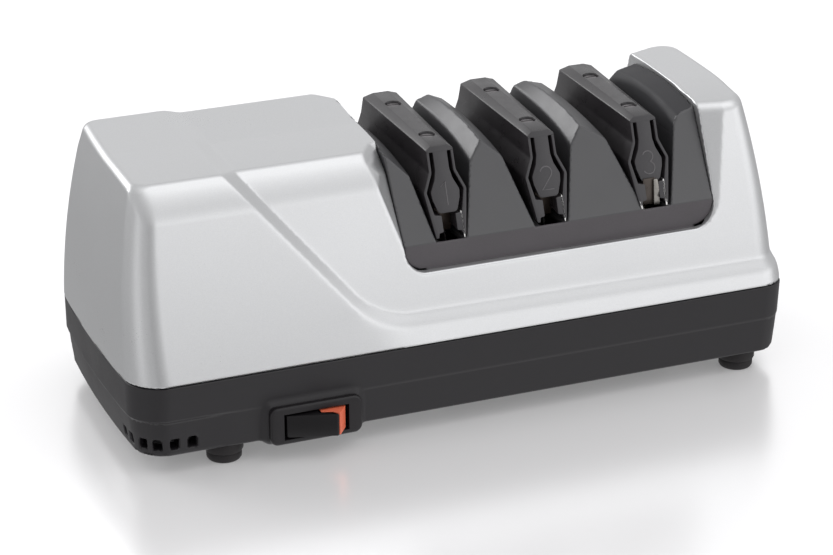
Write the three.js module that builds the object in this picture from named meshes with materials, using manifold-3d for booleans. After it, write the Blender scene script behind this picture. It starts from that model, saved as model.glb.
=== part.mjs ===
// Electric three-stage knife sharpener, in millimetres, +Z up.
// +X runs along the length, from the motor housing (left) to the end pillar (right);
// the front face is -Y. The origin is the centre of the footprint, at the feet's undersides.
import * as THREE from "three";
import { mergeVertices } from "three/addons/utils/BufferGeometryUtils.js";
import Module from "manifold-3d";

// ---------------------------------------------------------------- driving dimensions
const HALF_LENGTH = 127; // overall length 254
const HALF_DEPTH = 53; // at the seam between cover and base
const SEAM_Z = 34.9; // parting line of cover and base
const BASE_Z = 8.6; // underside of the base
const SKIRT_Z = 7.4; // lower edge of the low skirt round the underside
const FLOOR_Z = 11.1; // inside floor of the base
const TOP_Z = 102.3; // highest point of the motor housing
const WALL = 2.5; // moulded wall
const GAP = 0.3; // clearance between touching pieces
const STAGES = [-3.2, 35.9, 76.4]; // centres of the three sharpening stages along X
const LEDGE_Z = 44.5; // mid height of the ledge along the lower part of the cover
const TOP_RIGHT_Z = 101.0; // top of the housing on the right of the ledge
const SADDLE_Z = 58.6; // bottom of the saddle opening in the cover
const INSERT_Z = 56.6; // underside of the insert, behind the saddle's edge
const CREASE_Z = 68.0; // top of the insert's lower strip, bottom of the V slots
const LEAN = 0.5; // how far the fins' end faces lean inwards per mm of height
const STRIP_Y = 40.5; // half depth of the insert at the crease
const PLATE_Z = 99.7; // top of the guide's cap
const SHAFT_Z = 50; // axis height of the drive shaft
const SHAFT_R = 4;
const DISC_R = 24; // sharpening and stropping discs
const ROTOR_X = [-90, -60];
const ROTOR_R = 16;
const FAN_R = 21.5;
const SWITCH_X = -60.4; // centre of the rocker switch
const SWITCH_Z = 13.55;
const ROCKER_PIVOT_Y = -51;
const FEET = [
  [-91, -43],
  [111, -43],
  [-91, 43],
  [111, 43],
];
const CASE_SCREWS = [
  [-110, -27],
  [112, -24],
  [-110, 27],
  [112, 24],
];
const VENTS = [
  [-104.5, -50.9, -90],
  [-111.0, -50.8, -92],
  [-117.2, -49.6, -113],
  [-122.0, -45.9, -146],
  [-124.6, -39.0, 180],
  [-125.2, -33.0, 180],
];
const GLAND = [-97, 20]; // x and z of the cord gland in the rear wall
const LEVER_PIVOT_Y = 36; // vertical pivot of the dressing lever

// ---------------------------------------------------------------- solid helpers
const wasm = await Module();
wasm.setup();

// A three.js geometry as a solid.
function solid(geometry) {
  const g = geometry.clone();
  g.deleteAttribute("normal");
  g.deleteAttribute("uv");
  const m = mergeVertices(g, 1e-4);
  return new wasm.Manifold(
    new wasm.Mesh({
      numProp: 3,
      vertProperties: new Float32Array(m.attributes.position.array),
      triVerts: new Uint32Array(m.index.array),
    }),
  );
}

// A solid as a named mesh with its material.
const sharpener = new THREE.Group();
function piece(name, made, material) {
  const m = made.getMesh();
  const g = new THREE.BufferGeometry();
  const n = m.numProp;
  const v = new Float32Array(m.numVert * 3);
  for (let i = 0; i < m.numVert; i++)
    v.set(m.vertProperties.subarray(i * n, i * n + 3), i * 3);
  g.setAttribute("position", new THREE.BufferAttribute(v, 3));
  g.setIndex(new THREE.BufferAttribute(new Uint32Array(m.triVerts), 1));
  g.computeVertexNormals();
  const mesh = new THREE.Mesh(g, material);
  mesh.name = name;
  sharpener.add(mesh);
  return mesh;
}

const shapeOf = (points) =>
  new THREE.Shape(points.map(([x, y]) => new THREE.Vector2(x, y)));
const AXES = {
  // shape x, shape y, depth
  x: new THREE.Matrix4().makeBasis(
    new THREE.Vector3(0, 1, 0),
    new THREE.Vector3(0, 0, 1),
    new THREE.Vector3(1, 0, 0),
  ),
  // an outline in X and Z runs along -Y, so that the basis stays right-handed
  y: new THREE.Matrix4().makeBasis(
    new THREE.Vector3(1, 0, 0),
    new THREE.Vector3(0, 0, 1),
    new THREE.Vector3(0, -1, 0),
  ),
  z: new THREE.Matrix4(),
};
// An outline swept along an axis from lo to hi. The outline is (y, z) along x, (x, z) along y, (x, y) along z.
function sweepGeometry(points, axis, lo, hi, steps = 1) {
  const g = new THREE.ExtrudeGeometry(shapeOf(points), {
    depth: hi - lo,
    steps,
    bevelEnabled: false,
  });
  g.applyMatrix4(AXES[axis]);
  if (axis === "x") g.translate(lo, 0, 0);
  if (axis === "y") g.translate(0, hi, 0);
  if (axis === "z") g.translate(0, 0, lo);
  return g;
}
const sweep = (points, axis, lo, hi) =>
  solid(sweepGeometry(points, axis, lo, hi));
const box = (x0, x1, y0, y1, z0, z1) =>
  solid(
    new THREE.BoxGeometry(x1 - x0, y1 - y0, z1 - z0).translate(
      (x0 + x1) / 2,
      (y0 + y1) / 2,
      (z0 + z1) / 2,
    ),
  );
// A profile of (radius, height) turned about Z, then laid along an axis and moved.
function turned(profile, segments, axis, at) {
  const g = new THREE.LatheGeometry(
    profile.map(([r, h]) => new THREE.Vector2(r, h)),
    segments,
  );
  if (axis === "z") g.rotateX(Math.PI / 2);
  if (axis === "x") g.rotateZ(-Math.PI / 2);
  g.translate(...at);
  return solid(g);
}
const rod = (r, lo, hi, segments, axis, at) =>
  turned(
    [
      [0, lo],
      [r, lo],
      [r, hi],
      [0, hi],
    ],
    segments,
    axis,
    at,
  );
const ring = (r0, r1, lo, hi, segments, axis, at) =>
  turned(
    [
      [r0, lo],
      [r1, lo],
      [r1, hi],
      [r0, hi],
      [r0, lo],
    ],
    segments,
    axis,
    at,
  );
const table = (rows) => (z) => {
  if (z <= rows[0][0]) return rows[0][1];
  for (let i = 1; i < rows.length; i++)
    if (z <= rows[i][0]) {
      const [z0, v0] = rows[i - 1],
        [z1, v1] = rows[i];
      return v0 + ((v1 - v0) * (z - z0)) / (z1 - z0);
    }
  return rows[rows.length - 1][1];
};
function roundedRect(x0, x1, y0, y1, r, n = 3) {
  const out = [];
  for (const [cx, cy, a] of [
    [x1 - r, y0 + r, -90],
    [x1 - r, y1 - r, 0],
    [x0 + r, y1 - r, 90],
    [x0 + r, y0 + r, 180],
  ])
    for (let i = 0; i <= n; i++) {
      const t = ((a + (90 * i) / n) * Math.PI) / 180;
      out.push([cx + r * Math.cos(t), cy + r * Math.sin(t)]);
    }
  return out;
}

// ---------------------------------------------------------------- materials
const finish = (color, roughness, metalness) =>
  new THREE.MeshStandardMaterial({ color, roughness, metalness });
const SILVER = finish(0xcfcfd1, 0.35, 0.6);
const BLACK = finish(0x2c2a2e, 0.5, 0.0);
const SLATE = finish(0x4a4b50, 0.55, 0.0);
const GUIDE = finish(0x242124, 0.4, 0.0);
const RUBBER = finish(0x1d1b1c, 0.85, 0.0);
const ROCKER = finish(0x1c1a1c, 0.4, 0.0);
const ORANGE = finish(0xf2603f, 0.45, 0.0);
const STEEL = finish(0xa9a9ad, 0.35, 1.0);
const IRON = finish(0x6d6c70, 0.5, 0.9);
const COPPER = finish(0xb56a3a, 0.4, 0.9);
const BRONZE = finish(0x8a6a42, 0.45, 0.9);
const ABRASIVE = finish(0x8d8a80, 0.6, 0.7);
const STROP = finish(0x77705f, 0.7, 0.3);
const MAGNET = finish(0x3a3a3e, 0.6, 0.4);

// ---------------------------------------------------------------- outer form of the case
// Plan outline at the seam: slightly bowed left end, rounded corners.
function planOutline() {
  const p = [];
  const arc = (cx, cy, r, a0, a1, n) => {
    for (let i = 0; i <= n; i++) {
      const t = ((a0 + ((a1 - a0) * i) / n) * Math.PI) / 180;
      p.push([cx + r * Math.cos(t), cy + r * Math.sin(t)]);
    }
  };
  arc(114.3, -40.5, 12.5, -90, 0, 4);
  p.push([HALF_LENGTH, 0]);
  arc(114.3, 40.5, 12.5, 0, 90, 4);
  arc(-113.1, 40.6, 12.4, 90, 176, 5);
  p.push([-126.6, 20], [-HALF_LENGTH, 0], [-126.6, -20]);
  arc(-113.1, -40.6, 12.4, 184, 270, 5);
  return p;
}
const PLAN = planOutline();
// The plan outline lofted up through levels; half depth, left and right reach come from tables.
function lofted(levels, depthAt, leftAt, rightAt) {
  const g = sweepGeometry(PLAN, "z", 0, levels.length - 1, levels.length - 1);
  const pos = g.attributes.position;
  for (let i = 0; i < pos.count; i++) {
    const x = pos.getX(i),
      y = pos.getY(i),
      z = levels[Math.round(pos.getZ(i))];
    pos.setXYZ(
      i,
      x < 0 ? (x * leftAt(z)) / HALF_LENGTH : (x * rightAt(z)) / HALF_LENGTH,
      (y * depthAt(z)) / HALF_DEPTH,
      z,
    );
  }
  return solid(g);
}
const outerDepth = table([
  [34.9, 53],
  [45, 50.7],
  [60, 46.6],
  [75, 42.4],
  [90, 38.4],
  [96.5, 36.6],
  [100.2, 35.4],
  [101.6, 34.2],
  [102.3, 32.2],
]);
const leftReach = table([
  [34.9, 127],
  [60, 125.3],
  [80, 122.3],
  [95, 119.3],
  [100.2, 117.9],
  [101.6, 116.8],
  [102.3, 115],
]);
const outerRight = table([
  [34.9, 127],
  [45, 126.6],
  [102.3, 117],
]);
// The right part stands back behind the ledge, more so towards the top.
const innerDepth = table([
  [34.9, 50.9],
  [45, 48.3],
  [60, 43.7],
  [75, 39.0],
  [90, 34.3],
  [95, 32.7],
  [99.4, 31.3],
  [101, 30],
  [102.3, 26.8],
]);
const innerRight = table([
  [34.9, 125.5],
  [48, 125.0],
  [60, 124.1],
  [75, 122.3],
  [90, 119.9],
  [96, 118.6],
  [99.4, 117.3],
  [101.3, 115.8],
  [102.3, 113.6],
]);
const LEVELS = [SEAM_Z, 45, 60, 75, 90, 96.5, 99.6, 101.3, TOP_Z];

// ---------------------------------------------------------------- top cover
const saddle = [
  [-25.4, 130],
  [-23.2, 101],
  [-22.3, 80],
  [-21.0, 66.5],
  [-19.6, 62.2],
  [-17.0, 59.6],
  [-13.4, SADDLE_Z],
  [91, SADDLE_Z],
  [95.6, 59.8],
  [98.9, 62.8],
  [100.2, 67.5],
  [99.5, 84],
  [98.7, 101],
  [98.4, 130],
];
{
  const proud = lofted(LEVELS, outerDepth, leftReach, outerRight);
  const stepped = lofted(LEVELS, innerDepth, leftReach, innerRight);
  // the proud part lies left of the diagonal ledge and below the horizontal one
  const proudRegion = sweep(
    [
      [-200, 0],
      [200, 0],
      [200, LEDGE_Z],
      [-36.6, LEDGE_Z],
      [-40, 47.4],
      [-62, 77],
      [-82.5, 103],
      [-82.5, 200],
      [-200, 200],
    ],
    "y",
    -80,
    80,
  );
  const lowRight = sweep(
    [
      [-84, TOP_RIGHT_Z],
      [10, TOP_RIGHT_Z],
      [10, 120],
      [-84, 120],
    ],
    "y",
    -80,
    80,
  );
  const form = stepped.subtract(lowRight).add(proud.intersect(proudRegion));
  const inside = lofted(
    [SEAM_Z - 3, 45, 60, 75, 90, 96],
    (z) => innerDepth(z) - WALL,
    (z) => leftReach(z) - WALL,
    (z) => innerRight(z) - WALL,
  );
  const cavity = inside.intersect(
    sweep(
      [
        [-200, 20],
        [200, 20],
        [200, 98],
        [101.8, 98],
        [102.8, 60.8],
        [-23.6, 60.8],
        [-24.9, 80],
        [-25.8, 98],
        [-200, 98],
      ],
      "y",
      -80,
      80,
    ),
  );
  let cover = form.subtract(cavity).subtract(sweep(saddle, "y", -80, 80));
  // screw bosses standing on the base's floor, each with a blind pilot hole
  for (const [x, y] of CASE_SCREWS) {
    cover = cover
      .add(
        rod(4, FLOOR_Z + GAP, 58, 12, "z", [x, y, 0])
          .add(
            box(x < 0 ? x - 14 : x, x < 0 ? x : x + 10, y - 1, y + 1, 37, 58),
          )
          .intersect(form.add(rod(4.1, 5, 40, 12, "z", [x, y, 0]))),
      )
      .subtract(rod(1.8, 0, 34, 10, "z", [x, y, 0]));
  }
  // window for the dressing lever in the rear wall
  const c = STAGES[2];
  cover = cover.subtract(box(c - 3.9, c + 3.9, 38, 60, SHAFT_Z - 3.2, SHAFT_Z + 7.2));
  piece("top_cover", cover, SILVER);
}

// ---------------------------------------------------------------- base housing
{
  const depth = table([
    [SKIRT_Z, 50.7],
    [SEAM_Z, 52.7],
  ]);
  const left = table([
    [SKIRT_Z, 124.6],
    [22, 126.4],
    [SEAM_Z, 126.7],
  ]);
  const right = table([
    [SKIRT_Z, 125.1],
    [22, 126.6],
    [SEAM_Z, 126.7],
  ]);
  const inset = (f, d) => (z) => f(z) - d;
  // the wall runs on a little below the underside as a low skirt
  let base = lofted([SKIRT_Z, 22, SEAM_Z - GAP], depth, left, right).subtract(
    lofted([SKIRT_Z - 2, BASE_Z], inset(depth, 1.4), inset(left, 1.4), inset(right, 1.4)),
  );
  // boss that carries the switch, reaching a little below the underside
  base = base.add(
    sweep(roundedRect(SWITCH_X - 18.6, SWITCH_X + 18.6, 5.4, 22.4, 3), "y", -52.8, -31),
  );
  base = base.subtract(
    lofted([FLOOR_Z, 22, SEAM_Z + 4], inset(depth, WALL), inset(left, WALL), inset(right, WALL)),
  );
  // pocket for the switch body
  base = base.subtract(box(SWITCH_X - 13.3, SWITCH_X + 13.3, -60, -32.8, 7.2, 19.9));
  // cradle ribs under the motor, bearing pedestal at the far end, lever post
  for (const x of [ROTOR_X[0] + 3, ROTOR_X[1] - 5])
    base = base.add(box(x, x + 2.4, -26, 26, FLOOR_Z - 1, 19.6));
  base = base.add(
    box(100.4, 106.4, -13, 13, FLOOR_Z - 1, SHAFT_Z + 9).subtract(
      rod(8.3, 99, 108, 20, "x", [0, 0, SHAFT_Z]),
    ),
  );
  base = base.add(
    rod(5, FLOOR_Z - 1, SHAFT_Z - 2.6, 14, "z", [STAGES[2], LEVER_PIVOT_Y, 0]).add(
      rod(2, SHAFT_Z - 4, SHAFT_Z + 7.5, 12, "z", [STAGES[2], LEVER_PIVOT_Y, 0]),
    ),
  );
  // vents along the lower left corners, front and rear
  for (const [x, y, turn] of VENTS)
    for (const s of x < -119.5 ? [1] : [1, -1])
      base = base.subtract(
        solid(
          new THREE.BoxGeometry(12, 3, 3.8)
            .rotateZ((s * turn * Math.PI) / 180)
            .translate(x, s * y, 11.9),
        ),
      );
  // holes for the feet's stems and the case screws
  for (const [x, y] of FEET) base = base.subtract(rod(2.3, 0, 14, 10, "z", [x, y, 0]));
  for (const [x, y] of CASE_SCREWS) base = base.subtract(rod(1.9, 0, 14, 10, "z", [x, y, 0]));
  // hole for the gland
  base = base.subtract(rod(6.3, 40, 60, 16, "y", [GLAND[0], 0, GLAND[1]]));
  // clean-out opening and the two rails that hold its cover
  base = base.subtract(box(24, 48, -11, 11, 4, 14));
  for (const s of [-1, 1])
    base = base.add(
      sweep(
        [
          [s * 16, BASE_Z + 1],
          [s * 16, 5],
          [s * 13.6, 5],
          [s * 13.6, 3.6],
          [s * 18, 3.6],
          [s * 18, BASE_Z + 1],
        ],
        "x",
        4,
        94,
      ),
    );
  piece("base_housing", base, BLACK);
}

// ---------------------------------------------------------------- slotted guide insert
{
  const finEnd = STRIP_Y - LEAN * (98.4 - CREASE_Z);
  const envelope = sweep(
    [
      [-41.2, INSERT_Z],
      [41.2, INSERT_Z],
      [41.1, SADDLE_Z],
      [STRIP_Y, CREASE_Z],
      [finEnd, 98.4],
      [17, 100],
      [8.5, 100.9],
      [-8.5, 100.9],
      [-17, 100],
      [-finEnd, 98.4],
      [-STRIP_Y, CREASE_Z],
      [-41.1, SADDLE_Z],
    ],
    "x",
    -40,
    110,
  );
  const [a, b, c] = STAGES;
  const profile = [
    [-13.2, INSERT_Z],
    [93.6, INSERT_Z],
    [94.2, 60.2],
    [98.4, 63.1],
    [99.9, 67.6],
    [99.2, 84],
    [98.4, 100.6],
    [95.4, 100.4],
    [89.8, 95.2],
    [c + 6.0, CREASE_Z],
    [c - 6.0, CREASE_Z],
    [62.4, 94],
    [52.9, 101],
    [48.1, 94],
    [b + 6.0, CREASE_Z],
    [b - 6.0, CREASE_Z],
    [21.8, 94],
    [13.6, 101],
    [8.6, 94],
    [a + 6.0, CREASE_Z],
    [a - 6.0, CREASE_Z],
    [-15.2, 92],
    [-22.9, 100.4],
    [-22.0, 80],
    [-20.7, 66.6],
    [-19.3, 62.4],
    [-16.8, 60],
    [-13.5, 59.0],
  ];
  let insert = sweep(profile, "y", -60, 60).intersect(envelope);
  // hollow fins, open downwards, with ribs along them
  const hollow = sweep(
    [
      [-38.4, 50],
      [38.4, 50],
      [38.2, 66],
      [24.4, 93],
      [-24.4, 93],
      [-38.2, 66],
    ],
    "x",
    -40,
    110,
  );
  const RIBS = [12.2, 19.6, 51.6, 59.8, 89.5];
  for (const pts of [
    [
      [a - 8.3, 62],
      [-15.2, 62],
      [-18.0, 67],
      [-19.4, 80],
      [-20.2, 90],
      [-17, 90],
      [a - 8.3, 68.4],
    ],
    [
      [a + 8.3, 50],
      [b - 8.3, 50],
      [b - 8.3, 68.4],
      [20, 91.5],
      [13.6, 96.5],
      [10.6, 91.5],
      [a + 8.3, 68.4],
    ],
    [
      [b + 8.3, 50],
      [c - 8.3, 50],
      [c - 8.3, 68.4],
      [60.4, 91.5],
      [52.9, 96.5],
      [50, 91.5],
      [b + 8.3, 68.4],
    ],
    [
      [c + 8.3, 50],
      [91.6, 50],
      [92.2, 61],
      [97.3, 67],
      [96.4, 93.5],
      [92.4, 91.5],
      [c + 8.3, 68.4],
    ],
  ]) {
    let cells = sweep(pts, "y", -60, 60).intersect(hollow);
    for (const x of RIBS) cells = cells.subtract(box(x - 0.8, x + 0.8, -60, 60, 40, 99));
    insert = insert.subtract(cells);
  }
  // the discs' chamber under each stage, open through the slot floor
  for (const x of STAGES)
    insert = insert
      .subtract(box(x - 11.6, x + 11.6, -25.6, 25.6, 50, 65.8))
      .subtract(box(x - 9.6, x + 9.6, -25.6, 25.6, 60, 76.4))
      .subtract(box(x - 12.4, x + 12.4, -38.4, 38.4, 50, 65.8));
  piece("guide_insert", insert, SLATE);
}

// ---------------------------------------------------------------- guides, one per stage
const plateHalf = (y) => 4.9 + (1.6 * (y + 29)) / 58; // the guide widens towards the rear
// End faces lean inwards with height, like the fins'.
const guideEnvelope = (end) =>
  sweep(
    [
      [-end, 66],
      [end, 66],
      [end - 0.42 * 34, 100],
      [-(end - 0.42 * 34), 100],
    ],
    "x",
    -40,
    120,
  );
// An outline in X (from the stage centre) and Z, swept along Y and widened towards the rear above the bulb.
function guideSweep(points, c, lo = -42, hi = 42) {
  const g = sweepGeometry(points, "y", lo, hi);
  const pos = g.attributes.position;
  for (let i = 0; i < pos.count; i++) {
    const x = pos.getX(i),
      y = pos.getY(i),
      z = pos.getZ(i);
    const share = Math.min(1, Math.max(0, (z - 86) / 5));
    const grow = share * 1.6 * ((y + 29) / 58) * Math.min(1, Math.abs(x) / 3.2);
    pos.setX(i, c + x + Math.sign(x) * grow);
  }
  return solid(g);
}
const flip = (points) => points.map(([x, z]) => [-x, z]).reverse();
const ARM = [
  [3.7, 97.5],
  [3.7, 90.6],
  [6.7, 84.6],
  [5.0, 77],
  [2.5, 76.5],
  [2.5, 71],
  [4.4, 70.7],
  [4.7, 69.3],
  [5.7, 69.3],
  [8.2, 84.6],
  [5.1, 90.9],
  [5.1, 97.5],
];
const TONGUE = [
  [-2.0, 98.6],
  [-2.1, 92],
  [-3.0, 88.6],
  [-5.0, 84.6],
  [-4.7, 82],
  [-3.3, 78],
  [-2.4, 77.3],
  [2.4, 77.3],
  [3.3, 78],
  [4.7, 82],
  [5.0, 84.6],
  [3.0, 88.6],
  [2.1, 92],
  [2.0, 98.6],
];
const SCREW_Y = [-16.5, 16.5];
STAGES.forEach((c, i) => {
  const n = i + 1;
  const envelope = guideEnvelope(41.6);
  let post = guideSweep(TONGUE, c).intersect(envelope);
  // a thicker core between the ends takes the screws
  post = post.add(box(c - 2.9, c + 2.9, -21.5, 21.5, 84, 98.6));
  const cap = guideSweep(
    [
      [-4.0, 97.8],
      [4.0, 97.8],
      [4.8, 98.4],
      [3.4, PLATE_Z],
      [-3.4, PLATE_Z],
      [-4.8, 98.4],
    ],
    c,
  ).intersect(guideEnvelope(43));
  post = post.add(cap);
  // feet of the post on the slot floor, clear of the discs
  for (const s of [-1, 1])
    post = post.add(
      box(c - 1.1, c + 1.1, s < 0 ? -32 : 27, s < 0 ? -27 : 32, CREASE_Z + GAP, 80),
    );
  for (const y of SCREW_Y)
    post = post
      .subtract(rod(2.9, 97.9, 103, 12, "z", [c, y, 0]))
      .subtract(rod(1.55, 86, 103, 8, "z", [c, y, 0]));
  piece("guide_post_" + n, post, GUIDE);
  for (const [side, outline] of [
    ["left", flip(ARM)],
    ["right", ARM],
  ]) {
    const s = side === "left" ? -1 : 1;
    const arm = guideSweep(outline, c)
      .intersect(envelope)
      // the pads stop short of the discs and of the post's feet
      .subtract(box(c + s * 5.6 - 5.2, c + s * 5.6 + 5.2, -18.5, 18.5, 66, 77.6));
    piece("guide_arm_" + n + "_" + side, arm, GUIDE);
  }
  SCREW_Y.forEach((y, k) => {
    let screw = turned(
      [
        [0, 88],
        [1.2, 88.6],
        [1.2, 98.1],
        [2.5, 98.1],
        [2.5, 98.9],
        [2.3, 99.25],
        [0, 99.25],
      ],
      10,
      "z",
      [c, y, 0],
    );
    screw = screw.subtract(
      solid(
        new THREE.BoxGeometry(7, 0.7, 1.4)
          .rotateZ(0.35)
          .translate(c, y, 99.3),
      ),
    );
    piece("guide_screw_" + n + (k ? "_rear" : "_front"), screw, IRON);
  });
});

// ---------------------------------------------------------------- feet and case screws
FEET.forEach(([x, y], i) => {
  piece(
    "foot_" + (i + 1),
    turned(
      [
        [0, 0],
        [5.9, 0],
        [6.5, 0.8],
        [6.5, 3.6],
        [5.7, 4.4],
        [5.7, BASE_Z - GAP],
        [2, BASE_Z - GAP],
        [2, 13],
        [0, 13],
      ],
      16,
      "z",
      [x, y, 0],
    ),
    RUBBER,
  );
});
CASE_SCREWS.forEach(([x, y], i) => {
  piece(
    "case_screw_" + (i + 1),
    turned(
      [
        [0, 5.9],
        [2.6, 6.1],
        [3.3, 7],
        [3.3, BASE_Z - GAP],
        [1.5, BASE_Z - GAP],
        [1.5, 29],
        [0, 30.5],
      ],
      12,
      "z",
      [x, y, 0],
    ),
    IRON,
  );
});

// ---------------------------------------------------------------- switch
{
  const X = SWITCH_X,
    Z = SWITCH_Z;
  piece(
    "switch_bezel",
    sweep(roundedRect(X - 17.2, X + 17.2, 6.7, 21.2, 3), "y", -55.6, -53.1).subtract(
      box(X - 12.1, X + 12.1, -60, -50, Z - 5, Z + 5),
    ),
    ROCKER,
  );
  piece(
    "switch_body",
    box(X - 12.9, X + 12.9, -52.7, -33.2, 7.6, 19.5)
      .subtract(box(X - 12.1, X + 12.1, -60, -42.5, Z - 5, Z + 5))
      .add(box(X - 8, X - 7.2, -33.5, -26, 12, 16))
      .add(box(X + 7.2, X + 8, -33.5, -26, 12, 16)),
    BLACK,
  );
  // The rocker rests with its right end out: a black cap over an orange carrier.
  const round = rod(11.8, 0, 30, 32, "z", [X, ROCKER_PIVOT_Y, 0]);
  const cap = sweep(
    [
      [X - 11.4, -55.0],
      [X - 11.4, -53.7],
      [X + 5.4, -58.3],
      [X + 7.0, -60.1],
      [X + 6.0, -60.3],
      [X + 2.0, -59.1],
    ].reverse(),
    "z",
    9.1,
    17.7,
  );
  piece("switch_rocker", cap.intersect(round), ROCKER);
  piece(
    "rocker_indicator",
    sweep(
      [
        [X - 11.3, -53.3],
        [X - 10.5, -48.5],
        [X, -45.5],
        [X + 10.5, -48.5],
        [X + 11.6, -55.0],
        [X + 7.7, -59.7],
        [X + 5.7, -58.0],
      ],
      "z",
      9.1,
      17.7,
    ).intersect(round),
    ORANGE,
  );
}

// ---------------------------------------------------------------- motor
{
  const [x0, x1] = ROTOR_X;
  const at = [0, 0, SHAFT_Z];
  piece("motor_rotor", ring(SHAFT_R + GAP, ROTOR_R, x0, x1, 24, "x", at), IRON);
  const stack = box(x0, x1, -29, 29, 20, 90)
    .subtract(rod(ROTOR_R + 0.6, x0 - 1, x1 + 1, 28, "x", at))
    .subtract(box(x0 - 1, x1 + 1, -17, 17, 71, 79));
  piece("motor_stator", stack, STEEL);
  piece(
    "stator_winding",
    box(x0 - 7, x1 + 7, -15.5, 15.5, 71.4, 95).subtract(
      box(x0 - GAP, x1 + GAP, -30, 30, 78.7, 90.4),
    ),
    COPPER,
  );
  for (const [name, x, s] of [
    ["left", x0 - 9.5, 1],
    ["right", x1 + 9.5, -1],
  ]) {
    let bracket = box(Math.min(x, x + s * 2.5), Math.max(x, x + s * 2.5), -27, 27, 42, 58);
    for (const y of [-23, 23])
      bracket = bracket.add(
        rod(3, Math.min(x, x + s * (9.5 - GAP)), Math.max(x, x + s * (9.5 - GAP)), 10, "x", [0, y, SHAFT_Z]),
      );
    bracket = bracket
      .add(ring(7.3, 9.6, Math.min(x, x + s * 6), Math.max(x, x + s * 6), 20, "x", at))
      .subtract(rod(7.3, x - 20, x + 20, 20, "x", at));
    piece("motor_bracket_" + name, bracket, STEEL);
    piece(
      "motor_bearing_" + name,
      ring(SHAFT_R + GAP, 7, Math.min(x, x + s * 6), Math.max(x, x + s * 6), 20, "x", at),
      BRONZE,
    );
  }
  // axial fan on the shaft's left end
  let fan = ring(SHAFT_R + GAP, 8, -113, -104, 18, "x", at).add(
    ring(7, FAN_R, -105.5, -104, 24, "x", at),
  );
  for (let k = 0; k < 7; k++)
    fan = fan.add(
      solid(
        new THREE.BoxGeometry(8, FAN_R - 7.7, 1.2)
          .translate(-109, (FAN_R + 6.9) / 2, 0)
          .rotateX((k * 2 * Math.PI) / 7)
          .translate(0, 0, SHAFT_Z),
      ),
    );
  piece("cooling_fan", fan, BLACK);
}

// ---------------------------------------------------------------- shaft, discs and their springs
{
  const at = [0, 0, SHAFT_Z];
  piece("drive_shaft", rod(SHAFT_R, -115, 107, 20, "x", at), STEEL);
  piece("shaft_end_bearing", ring(SHAFT_R + GAP, 8, 100.2, 106.6, 20, "x", at), BRONZE);
  STAGES.forEach((c, i) => {
    for (const s of [-1, 1]) {
      // a thin cone on a hub; its working face looks outwards from the stage centre
      const profile = [
        [SHAFT_R + GAP, 3.2],
        [7, 3.2],
        [7.2, 5.0],
        [DISC_R, 4.8],
        [DISC_R, 5.8],
        [8, 9.2],
        [SHAFT_R + GAP, 9.2],
        [SHAFT_R + GAP, 3.2],
      ].map(([r, h]) => [r, c + s * h]);
      piece(
        (i < 2 ? "abrasive_disc_" : "strop_disc_") + (i + 1) + (s < 0 ? "_left" : "_right"),
        turned(s < 0 ? profile.reverse() : profile, 24, "x", at),
        i < 2 ? ABRASIVE : STROP,
      );
    }
    // compression spring between the pair of discs
    class Coil extends THREE.Curve {
      getPoint(t, out = new THREE.Vector3()) {
        const a = t * Math.PI * 2 * 2.5;
        return out.set(c - 2.3 + 4.6 * t, 5.7 * Math.cos(a), SHAFT_Z + 5.7 * Math.sin(a));
      }
    }
    const wire = [];
    for (let k = 0; k < 5; k++) {
      const t = (k * 2 * Math.PI) / 5;
      wire.push([0.5 * Math.cos(t), 0.5 * Math.sin(t)]);
    }
    piece(
      "disc_spring_" + (i + 1),
      solid(
        new THREE.ExtrudeGeometry(shapeOf(wire), {
          steps: 24,
          extrudePath: new Coil(),
          bevelEnabled: false,
        }),
      ),
      STEEL,
    );
  });
}

// ---------------------------------------------------------------- dressing lever at the rear of stage 3
{
  const c = STAGES[2],
    z0 = SHAFT_Z - 2,
    z1 = SHAFT_Z + 6;
  let lever = rod(5, z0, z1, 16, "z", [c, LEVER_PIVOT_Y, 0])
    .add(box(c - 2.6, c + 2.6, 27.5, 50, z0, z1))
    .add(box(c - 13.6, c + 13.6, 26.2, 29.2, z0, z1))
    .add(box(c - 13.6, c - 12, 14, 28, z0, z1))
    .add(box(c + 12, c + 13.6, 14, 28, z0, z1))
    .add(
      sweep(roundedRect(c - 4.4, c + 4.4, 45.8, 60.5, 2), "y", 49.2, 57),
    )
    .subtract(rod(2.3, z0 - 1, z1 + 1, 12, "z", [c, LEVER_PIVOT_Y, 0]));
  piece("dressing_lever", lever, BLACK);
  piece("dressing_pad_left", box(c - 11.7, c - 9.6, 14.5, 23, z0 + 1, z1 - 1), STROP);
  piece("dressing_pad_right", box(c + 9.6, c + 11.7, 14.5, 23, z0 + 1, z1 - 1), STROP);
}

// ---------------------------------------------------------------- clean-out cover and its magnet
{
  const cover = sweep(
    roundedRect(12, 62, -15.6, 15.6, 2),
    "z",
    5.3,
    BASE_Z - GAP,
  )
    .subtract(box(25, 47, -6, 6, 6.6, 10))
    .add(box(54, 56, -9, 9, 4.5, 5.6));
  piece("cleanout_cover", cover, BLACK);
  piece("dust_magnet", box(25.4, 46.6, -5.6, 5.6, 6.9, BASE_Z - GAP), MAGNET);
}

// ---------------------------------------------------------------- cord gland
piece(
  "cord_gland",
  turned(
    [
      [3.7, 45],
      [6, 45],
      [6, 52.6],
      [8.2, 52.6],
      [8.2, 54.6],
      [6.4, 55.4],
      [5.6, 58.2],
      [3.7, 58.2],
      [3.7, 45],
    ],
    20,
    "y",
    [GLAND[0], 0, GLAND[1]],
  ),
  RUBBER,
);

export default sharpener;
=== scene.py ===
import math

import bmesh
import bpy
import numpy as np
from mathutils import Matrix, Vector


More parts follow.
